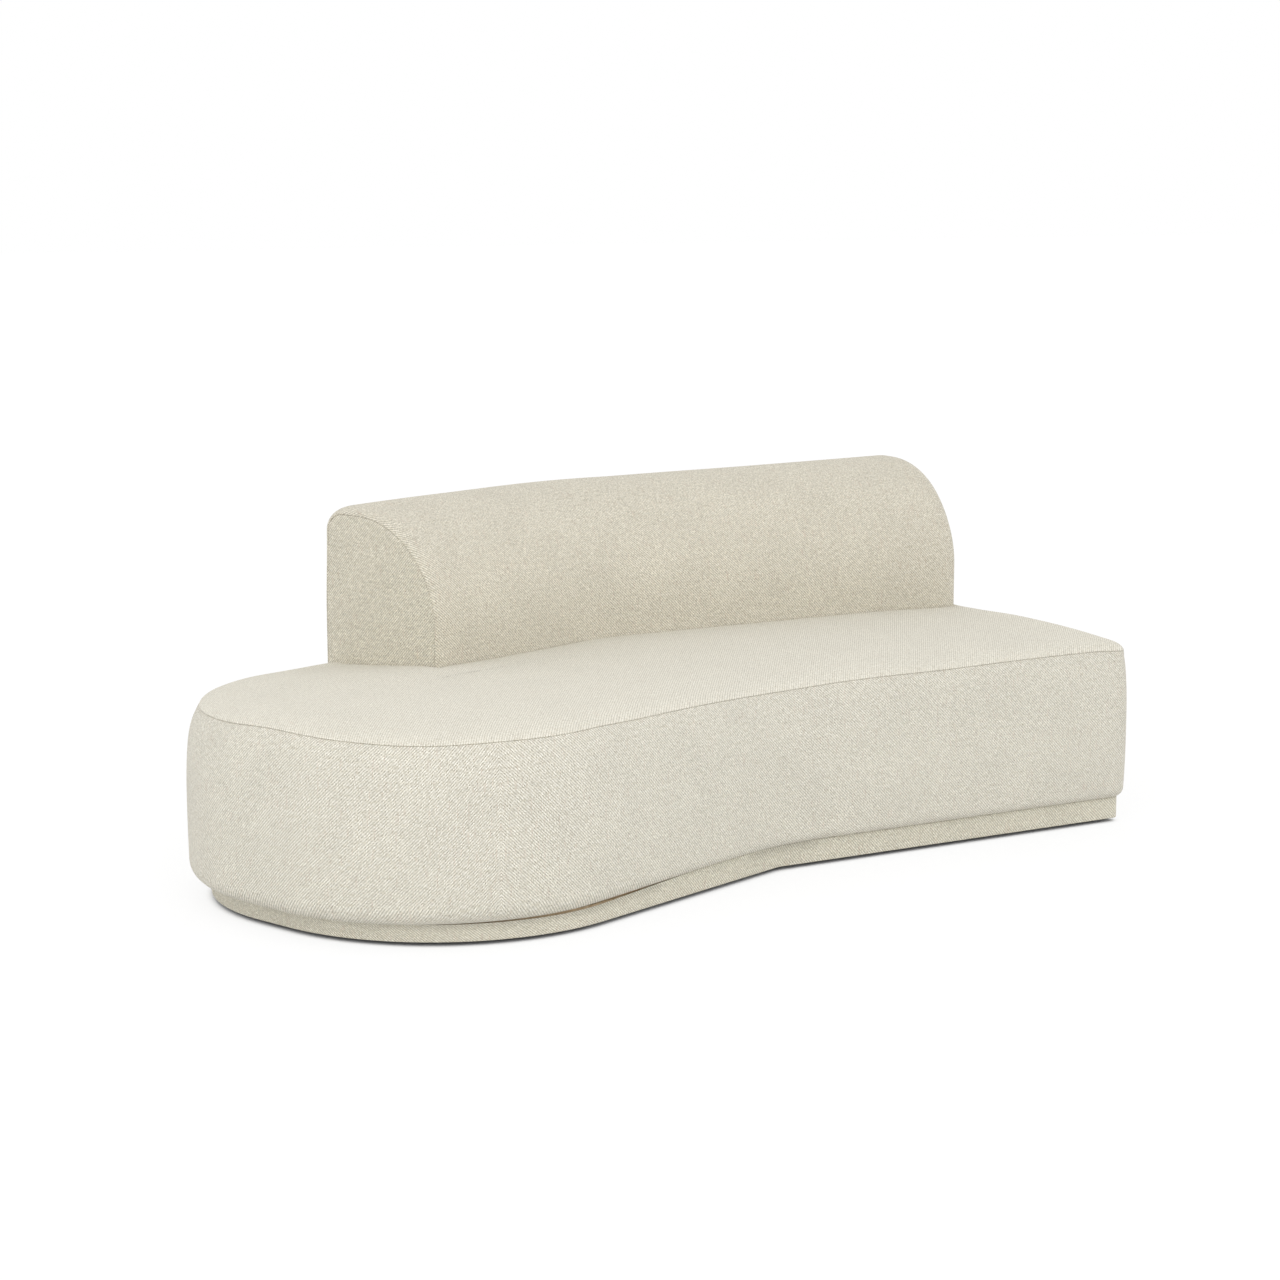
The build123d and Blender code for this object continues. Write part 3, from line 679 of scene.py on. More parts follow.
# backrest lines, shared by the seat top, which tucks in under it
back = {
    "rightInset": 0.050,
    "wingLength": 0.405,
    "rearInset": 0.007,
    "thickness": 0.322,
    "frontBend": 0.600,  # the front turns more gently than the rear
    "rearSwell": 0.015,  # further back at the wing's end
    "swellSpan": (0.0, 0.36),
    "swellRun": 0.140,
    "top": 0.735,
    "slope": 0.0108,  # the top falls this much for each metre from the right end
    "frontRadius": 0.235,
    "rearRadius": 0.058,
    "base": 0.3760,
    "shoulderLow": 0.0090,  # drawn in to the end seam, low down and over the top
    "shoulder": 0.0155,
    "shoulderSpan": (0.50, 0.66),
    "shoulderRun": 0.040,
    "shoulderSteps": (  # rows of the cover, closest at the seam
        (0.0, 0.0006, 0.0016, 0.003, 0.005, 0.0075, 0.0105)
        + (0.014, 0.018, 0.0225, 0.0275, 0.033, 0.040)
    ),
    "rowSpan": (0.049, 0.048, 0.0085),  # and between the shoulders: from each end, step
    "rightShare": 1.4,  # the right end is rounder
    "allowance": 0.0006,
    "crease": (0.0, 0.0007, 0.0020),  # how the seam allowance turns in behind the end panel
    "skin": 0.006,
    "unevenness": 0.0014,
    "lumps": (0.22, 13.0),  # size and seed
    "lumpSpan": (0.0, 0.08),  # from the ends
    "freeSpan": (0.012, 0.06),  # from the ends, and the heights, that the cloth run may move
    "freeRise": (0.42, 0.46),
    "seed": 6.1,
}
backFront = back["rearInset"] + back["thickness"]


def rearSwell(points):
    return back["rearSwell"] * smooth(*back["swellSpan"], wingPlace(points)[0])


def shoulderDepth(heights, share):
    high = smooth(*back["shoulderSpan"], heights)
    return share * (back["shoulderLow"] + (back["shoulder"] - back["shoulderLow"]) * high)


# a line along the backrest, this far in from the rear edge of the plan
def backLine(inset, bendRadius, step):
    corners = [
        np.array([rightEnd - back["rightInset"], rearLine - inset]),
        bendPoint + acrossBend * (plan["depth"] - inset),
        wingPoint(back["wingLength"], plan["depth"] - inset),
    ]
    return roundedLine(corners, [0, bendRadius, 0], False, step)


def rearRun(step=0.010):
    return backLine(0.0, plan["rearBend"], step)


# how much further forward than the even thickness the front stands, where it turns gently at the bend
def frontFill(places, normals):
    line = backLine(backFront, back["frontBend"], 0.004)[0]
    fill = []
    for place, normal in zip(places, normals):
        apart = line - place
        across = apart @ np.array([-normal[1], normal[0]])
        fill.append(np.interp(0.0, across, -(apart @ normal)) - backFront)
    return np.maximum(fill, 0.0)


# points of the backrest's foot on the seat, as a closed outline
def backFootprint():
    points, normals = rearRun(0.02)[:2]
    rear = points - normals * (back["rearInset"] - rearSwell(points)[:, None])
    front = points - normals * backFront
    return np.concatenate([rear, front[::-1]])


def outlineDistance(places, outline):
    best = np.full(len(places), 1e9)
    inside = np.zeros(len(places), bool)
    for a, b in zip(outline, np.roll(outline, -1, 0)):
        edge = b - a
        t = np.clip(((places - a) @ edge) / (edge @ edge), 0, 1)
        best = np.minimum(best, np.linalg.norm(places - a - t[:, None] * edge, axis=1))
        cross = (a[1] > places[:, 1]) != (b[1] > places[:, 1])
        at = a[0] + (places[:, 1] - a[1]) * edge[0] / (edge[1] if edge[1] else 1e-12)
        inside ^= cross & (places[:, 0] < at)
    return np.where(inside, -best, best)


# seat top: crowned panel sewn in at the seam, tucked down where it meets the backrest
seatTop = {
    "rise": 0.0255,
    "run": 0.150,
    "rightRun": 0.058,
    "rightRunSpan": (0.42, 0.06),
    "tipRun": 0.270,
    "tipRunSpan": (0.25, 0.75),
    "edge": 0.0040,  # rolls up out of the seam
    "edgeRun": 0.012,
    "leastEdge": 0.0026,
    "leastSlope": 0.8,
    "leastDepth": 0.004,
    "rightRise": 0.0040,  # fuller at the flat right end
    "rightRiseSpan": (0.30, 0.07),
    "frontSpan": (0.02, 0.26),
    "rightRear": 2.3,  # and that much flatter towards the rear
    "rearSpan": (0.35, 0.55),
    "cornerFall": 0.14,  # share that the crown loses at the front right corner
    "cornerSpread": 0.08,
    "rearFall": 0.0100,  # pressed down behind and under the backrest's end
    "fallAlong": ((0.10, 0.34), (0.46, 0.66)),
    "fallAcross": (0.58, 0.78),
    "fallEdge": (0.0, 0.05),
    "frontSwell": 0.0040,  # pushed up in front of it
    "swellSpread": 0.12,
    "levelSpan": (0.02, 0.30),  # from the seam inwards, where its wander dies out
    "softening": 60,
    "tuckDepth": 0.0030,
    "tuckRun": 0.018,
    "tuckFall": 1.6,
    "floor": 0.3858,
    "hem": 0.0001,
    "lie": 10.0,
    "unevenness": 0.0018,
    "lumps": (0.21, 9.0),  # size and seed
    "lumpSpan": ((0.02, 0.09), (0.0, 0.06)),  # from the seam and from the backrest
    "insets": (  # rings from the seam inwards, closest where the backrest stands
        (0.0008, 0.002, 0.004, 0.007, 0.011, 0.016, 0.022),
        np.arange(0.029, 0.296, 0.0085),
        np.arange(0.298, 0.326, 0.0032),
        np.arange(0.330, 0.438, 0.0120),
    ),
}


def nearestOnLine(places, line):
    best = np.full(len(places), 1e9)
    found = places.copy()
    for a, b in zip(line[:-1], line[1:]):
        edge = b - a
        t = np.clip(((places - a) @ edge) / (edge @ edge), 0, 1)
        spot = a + t[:, None] * edge
        gap = np.linalg.norm(places - spot, axis=1)
        closer = gap < best
        best = np.where(closer, gap, best)
        found[closer] = spot[closer]
    return found


# height of the crown over the seam, at places that lie this deep inside it
def seatCrown(flat, depth):
    along, across = wingPlace(flat)
    fromFront = flat[:, 1] - frontLine
    even = seatTop["run"]
    run = even + (seatTop["rightRun"] - even) * nearRight(flat, *seatTop["rightRunSpan"])
    run = run + (seatTop["tipRun"] - even) * smooth(*seatTop["tipRunSpan"], along)
    share = np.clip(depth / run, 0, 1)
    flatter = seatTop["rightRear"] * smooth(*seatTop["rearSpan"], fromFront)
    full = nearRight(flat, *seatTop["rightRiseSpan"]) * (smooth(*seatTop["frontSpan"], fromFront) - flatter)
    rise = seatTop["rise"] - seatTop["edge"] + seatTop["rightRise"] * full
    crown = rise * np.sqrt(np.clip(1 - (1 - share) ** 2, 0, 1))
    crown += seatTop["edge"] * (1 - np.exp(-depth / seatTop["edgeRun"]))
    cornerGap = ((flat - (rightEnd, frontLine)) ** 2).sum(1)
    crown *= 1 - seatTop["cornerFall"] * hump(cornerGap, seatTop["cornerSpread"])
    pressed = smooth(*seatTop["fallAcross"], across) * between(*seatTop["fallAlong"], along)
    crown -= seatTop["rearFall"] * pressed * smooth(*seatTop["fallEdge"], depth)
    swellGap = (along - back["wingLength"]) ** 2 + (across - plan["depth"] + back["thickness"]) ** 2
    crown += seatTop["frontSwell"] * hump(swellGap, seatTop["swellSpread"])
    least = seatTop["leastSlope"] * depth * (depth < seatTop["leastDepth"])
    return np.maximum(crown, seatTop["leastEdge"] + least)


def seatTopPanel():
    points, normals = planLine(0.0, 0.0, plan["frontBend"], plan["step"])[:2]
    count, half, seam = len(points), plan["depth"] / 2, seamHeight(points)
    tipEnd = wingPoint(plan["wing"] - half, tipMiddle)
    spine = np.array([[rightEnd - half, middleLine], bendPoint + acrossBend * half, tipEnd])
    target = nearestOnLine(points - normals * half, spine)
    edge = seamDraw(points)[:, None]
    start = points - normals * edge
    lips = side["groove"][::-1]
    insets = np.concatenate(seatTop["insets"])
    rings = [points - normals * (edge + inset) for inset, lift in lips]
    rings += [start + (target - start) * (inset / (half - side["seamDraw"])) for inset in insets]
    rings = np.array(rings)
    flat = rings[len(lips):].reshape(-1, 2)
    depth = np.abs(outlineDistance(flat, start))
    levels = seatCrown(flat, depth).reshape(len(insets), count) + seam[None, :]
    levels = levels + (side["seam"] - seam)[None, :] * smooth(*seatTop["levelSpan"], insets)[:, None]
    for sweep in range(seatTop["softening"]):  # soften the mitre lines that run in from the corners
        levels[3:] = 0.5 * levels[3:] + 0.25 * (np.roll(levels, 1, 1) + np.roll(levels, -1, 1))[3:]
    places = np.column_stack([flat, levels.ravel()])
    away = outlineDistance(flat, backFootprint())
    fromSeam, fromBack = seatTop["lumpSpan"]
    free = smooth(*fromSeam, depth) * smooth(*fromBack, away)
    places = uneven(places, free[:, None] * (0.0, 0.0, 1.0), seatTop["unevenness"], *seatTop["lumps"])
    tucked = places[:, 2] - np.exp(-np.clip(away, 0, None) / seatTop["tuckRun"]) * seatTop["tuckDepth"]
    under = tucked + np.minimum(away, 0) * seatTop["tuckFall"]
    under = np.maximum(under, np.minimum(seatTop["floor"], places[:, 2]))
    levels = np.where(away < 0, under, tucked).reshape(len(insets), count)
    heights = np.concatenate([[seam + lift for inset, lift in lips], levels])
    cover = np.concatenate([rings, heights[..., None]], -1).reshape(-1, 3)
    cover = np.concatenate([cover, np.column_stack([rings[0], seam + seatTop["hem"]])])
    faces = [tuple(f) for f in gridFaces(len(rings), count, True, False)[0]]
    first = np.arange(count)
    after, base = np.roll(first, -1), first + len(rings) * count
    faces.append(tuple(first + (len(rings) - 1) * count))
    faces += [(base[k], base[m], m, k) for k, m in zip(first, after)]
    faces.append(tuple(base[::-1]))
    lie = math.radians(seatTop["lie"])
    turned = np.array([[-math.cos(lie), -math.sin(lie)], [-math.sin(lie), math.cos(lie)]])
    flatPlaces = cover[:, :2] @ turned.T
    weave = [tuple(flatPlaces[v]) for f in faces for v in f]
    return faceOutwards(addPiece("seatTopPanel", cover, faces, weave, topTwill))


# the backrest's D-shaped section: up the rear, over the top and down the front
def backSection(swell, drop):
    rear, top, base = back["rearInset"], back["top"], back["base"]
    corners = np.array([[rear, base], [rear, top], [backFront, top], [backFront, base]])
    rounds = [0, back["rearRadius"], back["frontRadius"], 0]
    points, normals, runs = roundedLine(corners, rounds, False, 0.008)
    points[:, 0] -= swell * (1 - smooth(rear, rear + back["swellRun"], points[:, 0]))
    points[:, 1] -= drop * (points[:, 1] - base) / (top - base)
    return points, -normals, runs[:-1]


def backCover():
    path, normals, runs = rearRun()
    runs = runs[:-1]
    length = runs[-1]
    near = np.array(back["shoulderSteps"])
    first, last, step = back["rowSpan"]
    stations = np.concatenate([near, np.arange(first, length - last, step), length - near[::-1]])
    places, faced = [
        np.column_stack([np.interp(stations, runs, line[:, k]) for k in (0, 1)]) for line in (path, normals)
    ]
    swells = rearSwell(places)
    fills = frontFill(places, faced / np.linalg.norm(faced, axis=1)[:, None])
    # each end gets two more rows, the seam allowance
    order = np.clip(np.arange(-2, len(stations) + 2), 0, len(stations) - 1)
    along = stations[order]
    fromEnd = np.minimum(along, length - along)
    rows = []
    for k, m in enumerate(order, -2):
        t = max(0.0, 1 - fromEnd[k + 2] / back["shoulderRun"])
        drawn = 1 - math.sqrt(max(0.0, 1 - t * t))
        turned = abs(k - m)
        inwards = np.array([-normals[0][1], normals[0][0]]) if m == 0 else -alongWing
        section, out, climbs = backSection(swells[m], back["slope"] * stations[m])
        section[:, 0] += fills[m] * smooth(back["rearInset"], backFront, section[:, 0])
        share = back["rightShare"] if stations[m] < length / 2 else 1.0
        shoulder = shoulderDepth(section[:, 1], share) * drawn + back["allowance"] * turned
        flat = section - out * shoulder[:, None]
        base = places[m] + inwards * back["crease"][turned]
        rows.append(np.column_stack([base - faced[m] * flat[:, :1], flat[:, 1]]))
    skin = np.array(rows)
    fade = smooth(*back["lumpSpan"], fromEnd)
    push = [np.column_stack([-faced[m] * out[:, :1], out[:, 1]]) * share for m, share in zip(order, fade)]
    cover = uneven(skin.reshape(-1, 3), np.concatenate(push), back["unevenness"], *back["lumps"])
    faces, corners = gridFaces(len(skin), len(section), False, False)
    steps = np.linalg.norm(np.diff(skin, axis=0), axis=2)
    lengths = np.concatenate([np.zeros((1, skin.shape[1])), np.cumsum(steps, 0)])
    atBend = np.argmin(np.abs(along - np.interp(bendPoint[0], places[::-1, 0], stations[::-1])))
    # laid from the bend, so that the weave keeps its size
    lengths = lengths - lengths[atBend] + along[atBend]
    weave = np.stack([lengths[corners[..., 0], corners[..., 1]], climbs[corners[..., 1]]], -1)
    made = addPiece("backCover", cover, faces, weave, backTwill)
    middle = len(path) // 2
    inside = path[middle] - normals[middle] * back["thickness"] / 2
    faceOutwards(made, (*inside, (back["top"] + back["base"]) / 2))
    rise = cover[:, 2].reshape(skin.shape[:2])
    free = smooth(*back["freeSpan"], fromEnd)[:, None] * smooth(*back["freeRise"], rise)
    settle(made, 1 - free.ravel(), back["seed"])
    return thicken(made, back["skin"])


# D-shaped end panels, a little crowned between their seams
endPanel = {
    "inset": 0.0012,
    "crown": 0.0035,
    "crownTurn": 0.8,
    "thick": 0.012,
    "spine": 0.150,
    "spineTop": 0.520,
    "rings": 26,
    "lastRing": 0.96,
    "lips": ((0.0000, -0.0020), (0.0004, -0.0009), (0.0011, -0.0003), (0.0024, -0.0001)),  # inset, lift
}


def backEndPanel(name, end):
    origin, outwards = end["origin"], end["outwards"]
    section, out = backSection(end["swell"], end["drop"])[:2]
    columns = len(section)
    edge = (shoulderDepth(section[:, 1], end["share"]) + endPanel["inset"])[:, None]
    spine = np.full(columns, endPanel["spine"])
    target = np.column_stack([spine, np.minimum(section[:, 1], endPanel["spineTop"])])
    rings = [section - out * (edge + inset) for inset, lift in endPanel["lips"]]
    lifts = [lift for inset, lift in endPanel["lips"]]
    start = rings[-1]
    for share in np.linspace(0, endPanel["lastRing"], endPanel["rings"])[1:]:
        rings.append(start + (target - start) * share)
        lifts.append(endPanel["crown"] * math.sin(share * math.pi / 2) ** endPanel["crownTurn"])
    skin = []
    for ring, lift in zip(rings, lifts):
        skin.append(np.column_stack([origin + end["forward"] * ring[:, :1] + outwards * lift, ring[:, 1]]))
    faces, corners = gridFaces(len(rings), columns, False, False)
    lie = np.array(rings) * (-1.0, 1.0)
    weave = [tuple(lie[r, c]) for f in corners for r, c in f] + [tuple(place) for place in lie[-1]]
    faces = [tuple(f) for f in faces] + [tuple(np.arange(columns) + (len(rings) - 1) * columns)]
    made = addPiece(name, np.concatenate(skin), faces, weave, endTwill)
    faceOutwards(made, (*(origin - outwards), back["base"]))
    return thicken(made, endPanel["thick"])


# plinth: a fabric band that turns sharply at the bend and folds under at the floor
plinth = {
    "inset": 0.023,
    "tipInset": 0.045,
    "rightStep": 0.0095,  # stands further out under the flat right end
    "rightSpan": (0.12, 0.03),
    "bend": 0.030,
    "bendLean": 0.0045,  # leans out to the seat at the bend
    "leanSpread": 0.03,
    "flare": 0.0080,  # and its top edge turns out, so that no slit shows from below
    "flareSpread": 0.09,
    "flareTurn": 20,
    "low": 0.008,
    "underFoot": 0.0004,
    "thick": 0.002,
    "fold": ((0.0010, 0.0), (0.0003, 0.0006), (0.0, 0.0018)),  # inset, lift
    "rows": (0.13, 0.95, 8),
    "topFold": 0.0004,
}


def plinthBand():
    points, normals, runs = planLine(plinth["inset"], plinth["tipInset"], plinth["bend"], plan["step"])
    step = plinth["rightStep"] * nearRight(points, *plinth["rightSpan"])
    points[:, 0] += step
    low, high, thick = plinth["low"], footLevel(points) - plinth["underFoot"], plinth["thick"]
    fromBend = ((points - bendPoint - acrossBend * plinth["inset"]) ** 2).sum(1)
    lean = plinth["bendLean"] * hump(fromBend, plinth["leanSpread"])
    flare = plinth["flare"] * np.maximum(tipShare(points), hump(fromBend, plinth["flareSpread"]))
    levels = [(thick + step, low)] + [(inset, low + lift) for inset, lift in plinth["fold"]]
    levels += [(0.0, low + (high - low) * share) for share in np.linspace(*plinth["rows"])]
    levels += [(plinth["topFold"], high), (thick, high)]
    skin = []
    for inset, z in levels:
        climb = (z - low) / (high - low)
        flat = points - normals * (inset - lean * climb - flare * climb ** plinth["flareTurn"])[:, None]
        skin.append(np.column_stack([flat, np.zeros(len(points)) + z]))
    skin = np.array(skin)
    faces, corners = gridFaces(len(levels), len(points), True, True)
    climbs = np.append(skin[:, :, 2].mean(1), low)
    weave = np.stack([runs[corners[..., 1]], climbs[corners[..., 0]]], -1)
    return faceOutwards(addPiece("plinthBand", skin.reshape(-1, 3), faces, weave, plinthTwill))


sideBand = seatSide()
topPanel = seatTopPanel()
print("seat dressed:", len(sideBand.data.polygons), "and", len(topPanel.data.polygons), "faces")
backSkin = backCover()
endLeft = {
    "origin": wingPoint(back["wingLength"], plan["depth"]),
    "forward": -acrossWing,
    "outwards": alongWing,
    "swell": back["rearSwell"],
    "drop": back["slope"] * rearRun()[2][-2],
    "share": 1.0,
}
endRight = {
    "origin": np.array([rightEnd - back["rightInset"], rearLine]),
    "forward": np.array([0.0, -1.0]),
    "outwards": np.array([1.0, 0.0]),
    "swell": 0.0,
    "drop": 0.0,
    "share": back["rightShare"],
}
leftEnd = backEndPanel("backEndLeft", endLeft)
rightEndPanel = backEndPanel("backEndRight", endRight)
print("backrest dressed:", len(backSkin.data.polygons), "faces")
band = plinthBand()


# what repeats along a line: thread in the seams, staples in the dust sheet
def rowTree(name, shape):
    tree = bpy.data.node_groups.new(name, "GeometryNodeTree")
    inputs = {"Line": "Geometry", "Pitch": "Float", "Size": "Vector", "Finish": "Material"}
    for label, kind in inputs.items():
        tree.interface.new_socket(label, in_out="INPUT", socket_type="NodeSocket" + kind)
    tree.interface.new_socket("Row", in_out="OUTPUT", socket_type="NodeSocketGeometry")
    start, end = tree.nodes.new("NodeGroupInput"), tree.nodes.new("NodeGroupOutput")
    spaced = tree.nodes.new("GeometryNodeResampleCurve")
    spaced.mode = "LENGTH"
    tangent = tree.nodes.new("GeometryNodeInputTangent")
    aim = tree.nodes.new("FunctionNodeAlignRotationToVector")
    aim.axis = "X"
    if shape == "bead":
        unit = tree.nodes.new("GeometryNodeMeshUVSphere")
        sizes = {"Segments": 6, "Rings": 4, "Radius": 0.5}
    else:
        unit = tree.nodes.new("GeometryNodeMeshCube")
        sizes = {"Size": (1, 1, 1)}
    for key, value in sizes.items():
        unit.inputs[key].default_value = value
    copies = tree.nodes.new("GeometryNodeInstanceOnPoints")
    real = tree.nodes.new("GeometryNodeRealizeInstances")
    finish = tree.nodes.new("GeometryNodeSetMaterial")
    for source, output, target, socket in (
        (start, "Line", spaced, "Curve"),
        (start, "Pitch", spaced, "Length"),
        (tangent, "Tangent", aim, "Vector"),
        (spaced, "Curve", copies, "Points"),
        (unit, "Mesh", copies, "Instance"),
        (aim, "Rotation", copies, "Rotation"),
        (start, "Size", copies, "Scale"),
        (copies, "Instances", real, "Geometry"),
        (real, "Geometry", finish, "Geometry"),
        (start, "Finish", finish, "Material"),
        (finish, "Geometry", end, "Row"),
    ):
        tree.links.new(source.outputs[output], target.inputs[socket])
    return tree


def rowAlong(name, tree, lines, look, material):
    curve = bpy.data.curves.new(name + "Line", "CURVE")
    curve.dimensions = "3D"
    for points, closed in lines:
        spline = curve.splines.new("POLY")
        spline.points.add(len(points) - 1)
        spline.points.foreach_set("co", np.column_stack([points, np.ones(len(points))]).ravel())
        spline.use_cyclic_u = closed
    guide = link(name + "Line", curve)
    rowMaker = guide.modifiers.new("row", "NODES")
    rowMaker.node_group = tree
    ids = {item.name: item.identifier for item in tree.interface.items_tree if item.in_out == "INPUT"}
    rowMaker[ids["Pitch"]] = look["pitch"]
    rowMaker[ids["Size"]] = look["size"]
    rowMaker[ids["Finish"]] = material
    bpy.context.view_layer.update()
    graph = bpy.context.evaluated_depsgraph_get()
    mesh = bpy.data.meshes.new_from_object(guide.evaluated_get(graph), depsgraph=graph)
    made = link(name, mesh)
    bpy.data.objects.remove(guide)
    return made


stitching = {
    "pitch": 0.0052,
    "size": (0.0042, 0.0006, 0.0006),
    "step": 0.010,  # of the line that the stitches follow
    "inset": 0.0014,
    "sunk": 0.0012,
    "proud": 0.0001,
}
staples = {
    "pitch": 0.055,
    "size": (0.0105, 0.0012, 0.0005),
    "step": 0.010,
    "inset": 0.034,
    "tipInset": 0.056,
    "level": 0.00785,
}


def seatSeam():
    points, normals = planLine(0.0, 0.0, plan["frontBend"], stitching["step"])[:2]
    line = points - normals * (seamDraw(points) + stitching["inset"])[:, None]
    return np.column_stack([line, seamHeight(points)])


def endSeam(end):
    section, out = backSection(end["swell"], end["drop"])[:2]
    inset = shoulderDepth(section[:, 1], end["share"]) + endPanel["inset"] - stitching["proud"]
    line = section - out * inset[:, None]
    flat = end["origin"] - end["outwards"] * stitching["sunk"] + end["forward"] * line[:, :1]
    return np.column_stack([flat, line[:, 1]])


seams = [(seatSeam(), True), (endSeam(endLeft), False), (endSeam(endRight), False)]
seamThread = rowAlong("seamThread", rowTree("threadRow", "bead"), seams, stitching, threadLook)
points = planLine(staples["inset"], staples["tipInset"], plinth["bend"], staples["step"])[0]
stapleLine = np.column_stack([points, np.full(len(points), staples["level"])])
stapleRow = rowAlong("sheetStaples", rowTree("stapleRow", "bar"), [(stapleLine, True)], staples, zincLook)
print("rows made:", len(seamThread.data.polygons), "thread and", len(stapleRow.data.polygons), "staple faces")


# inner soft pieces: the frame's own outlines with softened edges
inner = {
    "foamEdge": 0.006,
    "strapEdge": 0.0006,
    "sheetEdge": 0.0003,
    "weld": 1e-6,
    "flatAngle": 1.0,  # degrees, facets flatter than this become one face
    "sharpAngle": 50.0,  # and edges sharper than this are softened
}


def softCopy(name, node, edge, material, segments=3):
    mesh = nodes[node].data.copy()
    mesh.name = name
    made = link(name, mesh)
    form = bmesh.new()
    form.from_mesh(mesh)
    bmesh.ops.remove_doubles(form, verts=form.verts, dist=inner["weld"])
    flat = math.radians(inner["flatAngle"])
    bmesh.ops.dissolve_limit(form, angle_limit=flat, verts=form.verts, edges=form.edges)
    form.to_mesh(mesh)
    form.free()
    mesh.materials.clear()
    mesh.materials.append(material)
    mesh.polygons.foreach_set("use_smooth", [False] * len(mesh.polygons))
    soften = made.modifiers.new("softEdge", "BEVEL")
    soften.width = edge
    soften.segments = segments
    soften.limit_method = "ANGLE"
    soften.angle_limit = math.radians(inner["sharpAngle"])
    return made


seatFoam = softCopy("seatFoam", "seat_foam", inner["foamEdge"], foamLook)
backFoam = softCopy("backFoam", "back_foam", inner["foamEdge"], foamLook)
path, normals, runs = rearRun()
for vertex in backFoam.data.vertices:  # its top falls as the cover's does
    spot = np.argmin(np.linalg.norm(path - np.array(vertex.co[:2]), axis=1))
    climb = max(0.0, vertex.co.z - back["base"]) / (back["top"] - back["base"])
    vertex.co.z -= back["slope"] * runs[spot] * climb
straps = softCopy("seatStraps", "seat_webbing", inner["strapEdge"], strapLook, 2)
dustSheet = softCopy("dustSheet", "dust_cover", inner["sheetEdge"], sheetLook, 1)
print("inner soft pieces made")

replaced = {
    sideBand: ("seat_side_cover", "cover_fabric"),
    topPanel: ("seat_top_cover", "cover_fabric"),
    backSkin: ("back_main_cover", "cover_fabric"),
    leftEnd: ("back_left_panel", "cover_fabric"),
    rightEndPanel: ("back_right_panel", "cover_fabric"),
    band: ("plinth_cover", "cover_fabric"),
    seatFoam: ("seat_foam", "foam"),
    backFoam: ("back_foam", "foam"),
    straps: ("seat_webbing", "webbing"),
    dustSheet: ("dust_cover", "dust_sheet"),
}
for piece, (node, slotName) in replaced.items():
    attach(piece, "sofa")
    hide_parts(node)
for piece, slotName in ((seamThread, "cover_fabric"), (stapleRow, "steel")):
    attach(piece, "sofa")

# boards, fittings and glides keep the frame's shapes and get their finishes
lying = {"seat_floor_board", "back_deck", "back_base_board"}
fittings = {"tee_nuts", "link_inserts", "back_bolts", "back_washers"}
stoodFor = {node for node, slotName in replaced.values()}
for name, node in nodes.items():
    if name in stoodFor:
        continue
    if name in fittings or name.startswith("glide_stud"):
        look = zincLook
    elif name.startswith("glide_pad"):
        look = nylonLook
    else:
        look = flatPly if name in lying else uprightPly
    node.data.materials.clear()
    node.data.materials.append(look)
print("finishes given")


# stage: pale floor, soft light from all round and a large soft lamp, front left
stage = {
    "worldLow": 1.30,
    "worldHigh": 0.93,
    "lampPower": 28.0,
    "lampSize": 2.6,
    "lampPlace": (-1.8, -3.0, 2.5),
    "lampAim": (0.0, 0.0, 0.35),
    "floorReach": 40.0,
    "floorGrey": 0.84,
    "floorWhite": 0.78,  # share of plain white in what the camera sees of the floor
    "floorGlow": 1.05,
    "contact": 0.022,  # how far the dark line under the plinth reaches
    "contactSpan": (0.30, 0.80),
}


# 1 for what the camera sees, straight or in a reflection
def seenRays(s):
    rays = s.node("ShaderNodeLightPath")
    return rays + rays.sister("Is Glossy Ray") + rays.sister("Is Transmission Ray")


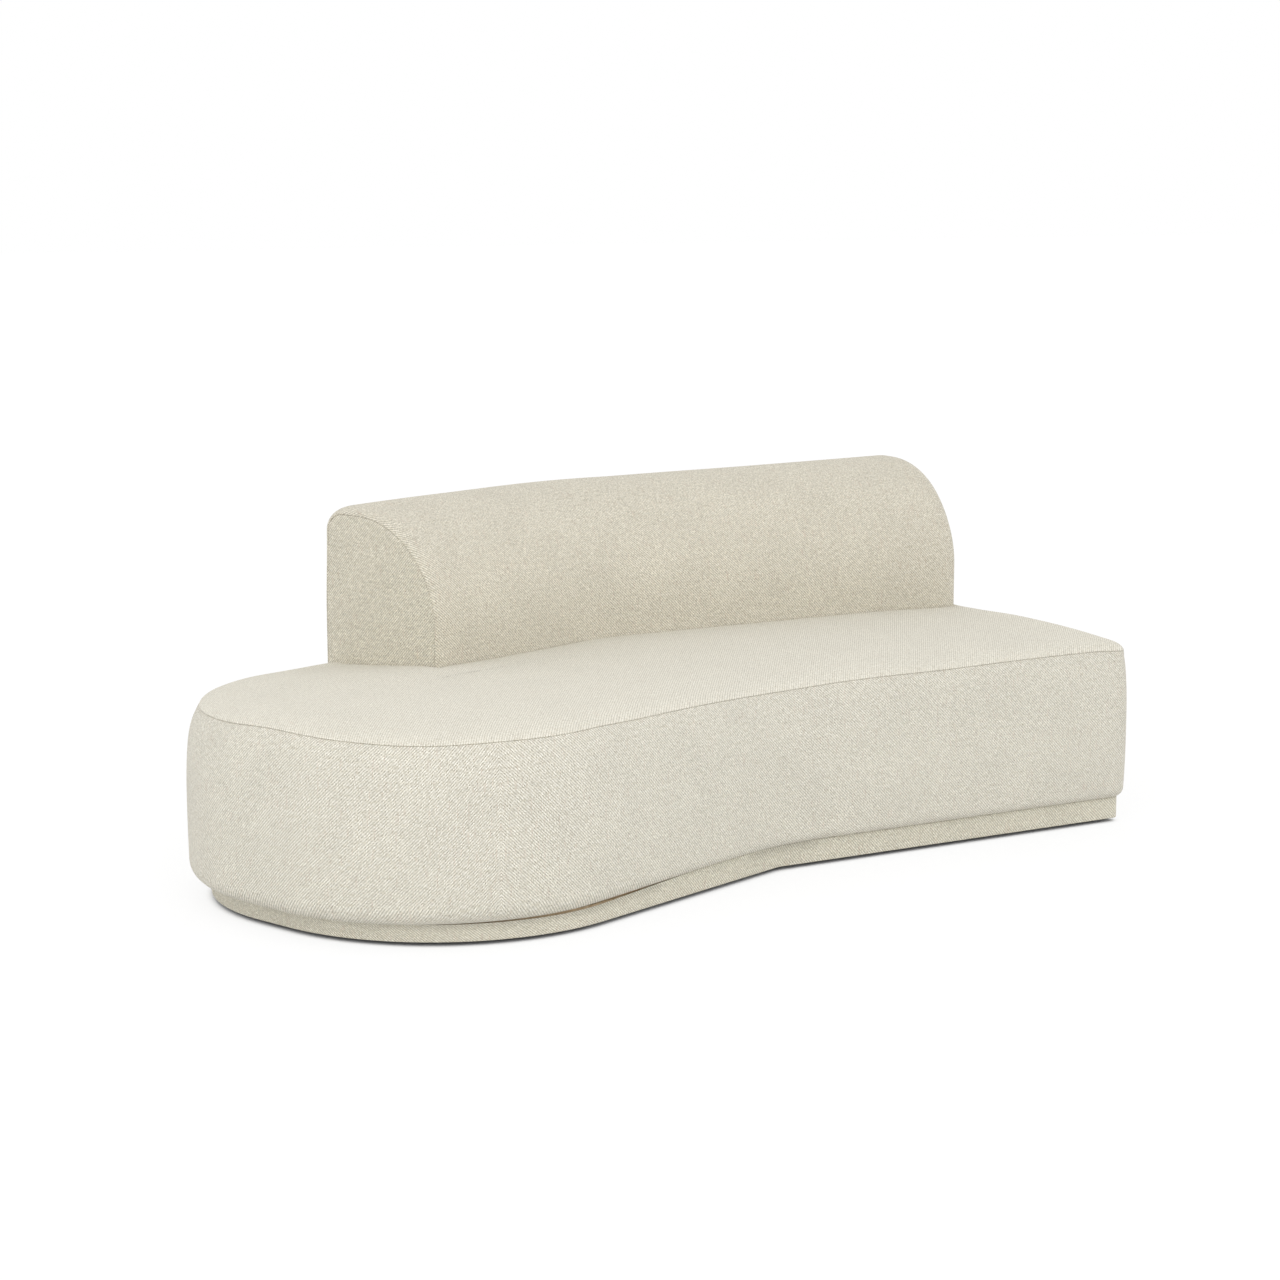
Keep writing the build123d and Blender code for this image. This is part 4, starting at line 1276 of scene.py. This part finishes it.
def makeFloor():
    reach = stage["floorReach"]
    mesh = bpy.data.meshes.new("studioFloor")
    corners = [(-reach, -reach, 0), (reach, -reach, 0), (reach, reach, 0), (-reach, reach, 0)]
    mesh.from_pydata(corners, [], [(0, 1, 2, 3)])
    made = link("studioFloor", mesh)
    material = bpy.data.materials.new("paleFloor")
    material.use_nodes = True
    material.node_tree.nodes.clear()
    s = Shade(material.node_tree)
    matt = s.node("ShaderNodeBsdfDiffuse", None, {"Color": (*[stage["floorGrey"]] * 3, 1)})
    white = s.node("ShaderNodeEmission", None, {"Color": (1, 1, 1, 1), "Strength": stage["floorGlow"]})
    near = s.node("ShaderNodeAmbientOcclusion", {"samples": 8}, {"Distance": stage["contact"]}, 1)
    share = seenRays(s) * s.ranged(near, *stage["contactSpan"]) * stage["floorWhite"]
    both = s.node("ShaderNodeMixShader", None, {0: share, 1: matt, 2: white})
    s.node("ShaderNodeOutputMaterial", None, {0: both})
    mesh.materials.append(material)


def makeWorld():
    world = bpy.data.worlds.new("studio")
    bpy.context.scene.world = world
    world.use_nodes = True
    world.node_tree.nodes.clear()
    s = Shade(world.node_tree)
    up = s.node("ShaderNodeTexCoord").split()[2]
    level = s.ranged(up, 0.0, 1.0, stage["worldLow"], stage["worldHigh"])
    soft = s.node("ShaderNodeBackground", None, {"Color": (1, 1, 1, 1), "Strength": level})
    white = s.node("ShaderNodeBackground", None, {"Color": (1, 1, 1, 1), "Strength": 1.0})
    both = s.node("ShaderNodeMixShader", None, {0: seenRays(s), 1: soft, 2: white})
    s.node("ShaderNodeOutputWorld", None, {0: both})


def makeLamp():
    lamp = bpy.data.lights.new("softLamp", "AREA")
    lamp.shape = "DISK"
    lamp.size = stage["lampSize"]
    lamp.energy = stage["lampPower"]
    made = link("softLamp", lamp)
    place = Vector(stage["lampPlace"])
    made.location = place
    made.rotation_euler = (Vector(stage["lampAim"]) - place).to_track_quat("-Z", "Y").to_euler()


# camera, where the photograph was taken from
view = {"place": (-2.8052, -4.9030, 1.4137), "pitch": 9.792, "azimuth": 29.608, "lens": 77.03, "sensor": 36.0}


def makeCamera():
    lens = bpy.data.cameras.new("camera")
    lens.lens = view["lens"]
    lens.sensor_width = view["sensor"]
    made = link("camera", lens)
    made.location = view["place"]
    made.rotation_euler = (math.radians(90 - view["pitch"]), 0, math.radians(-view["azimuth"]))
    bpy.context.scene.camera = made


makeFloor()
makeWorld()
makeLamp()
makeCamera()
bpy.context.scene.view_settings.view_transform = "Standard"
print("stage set")
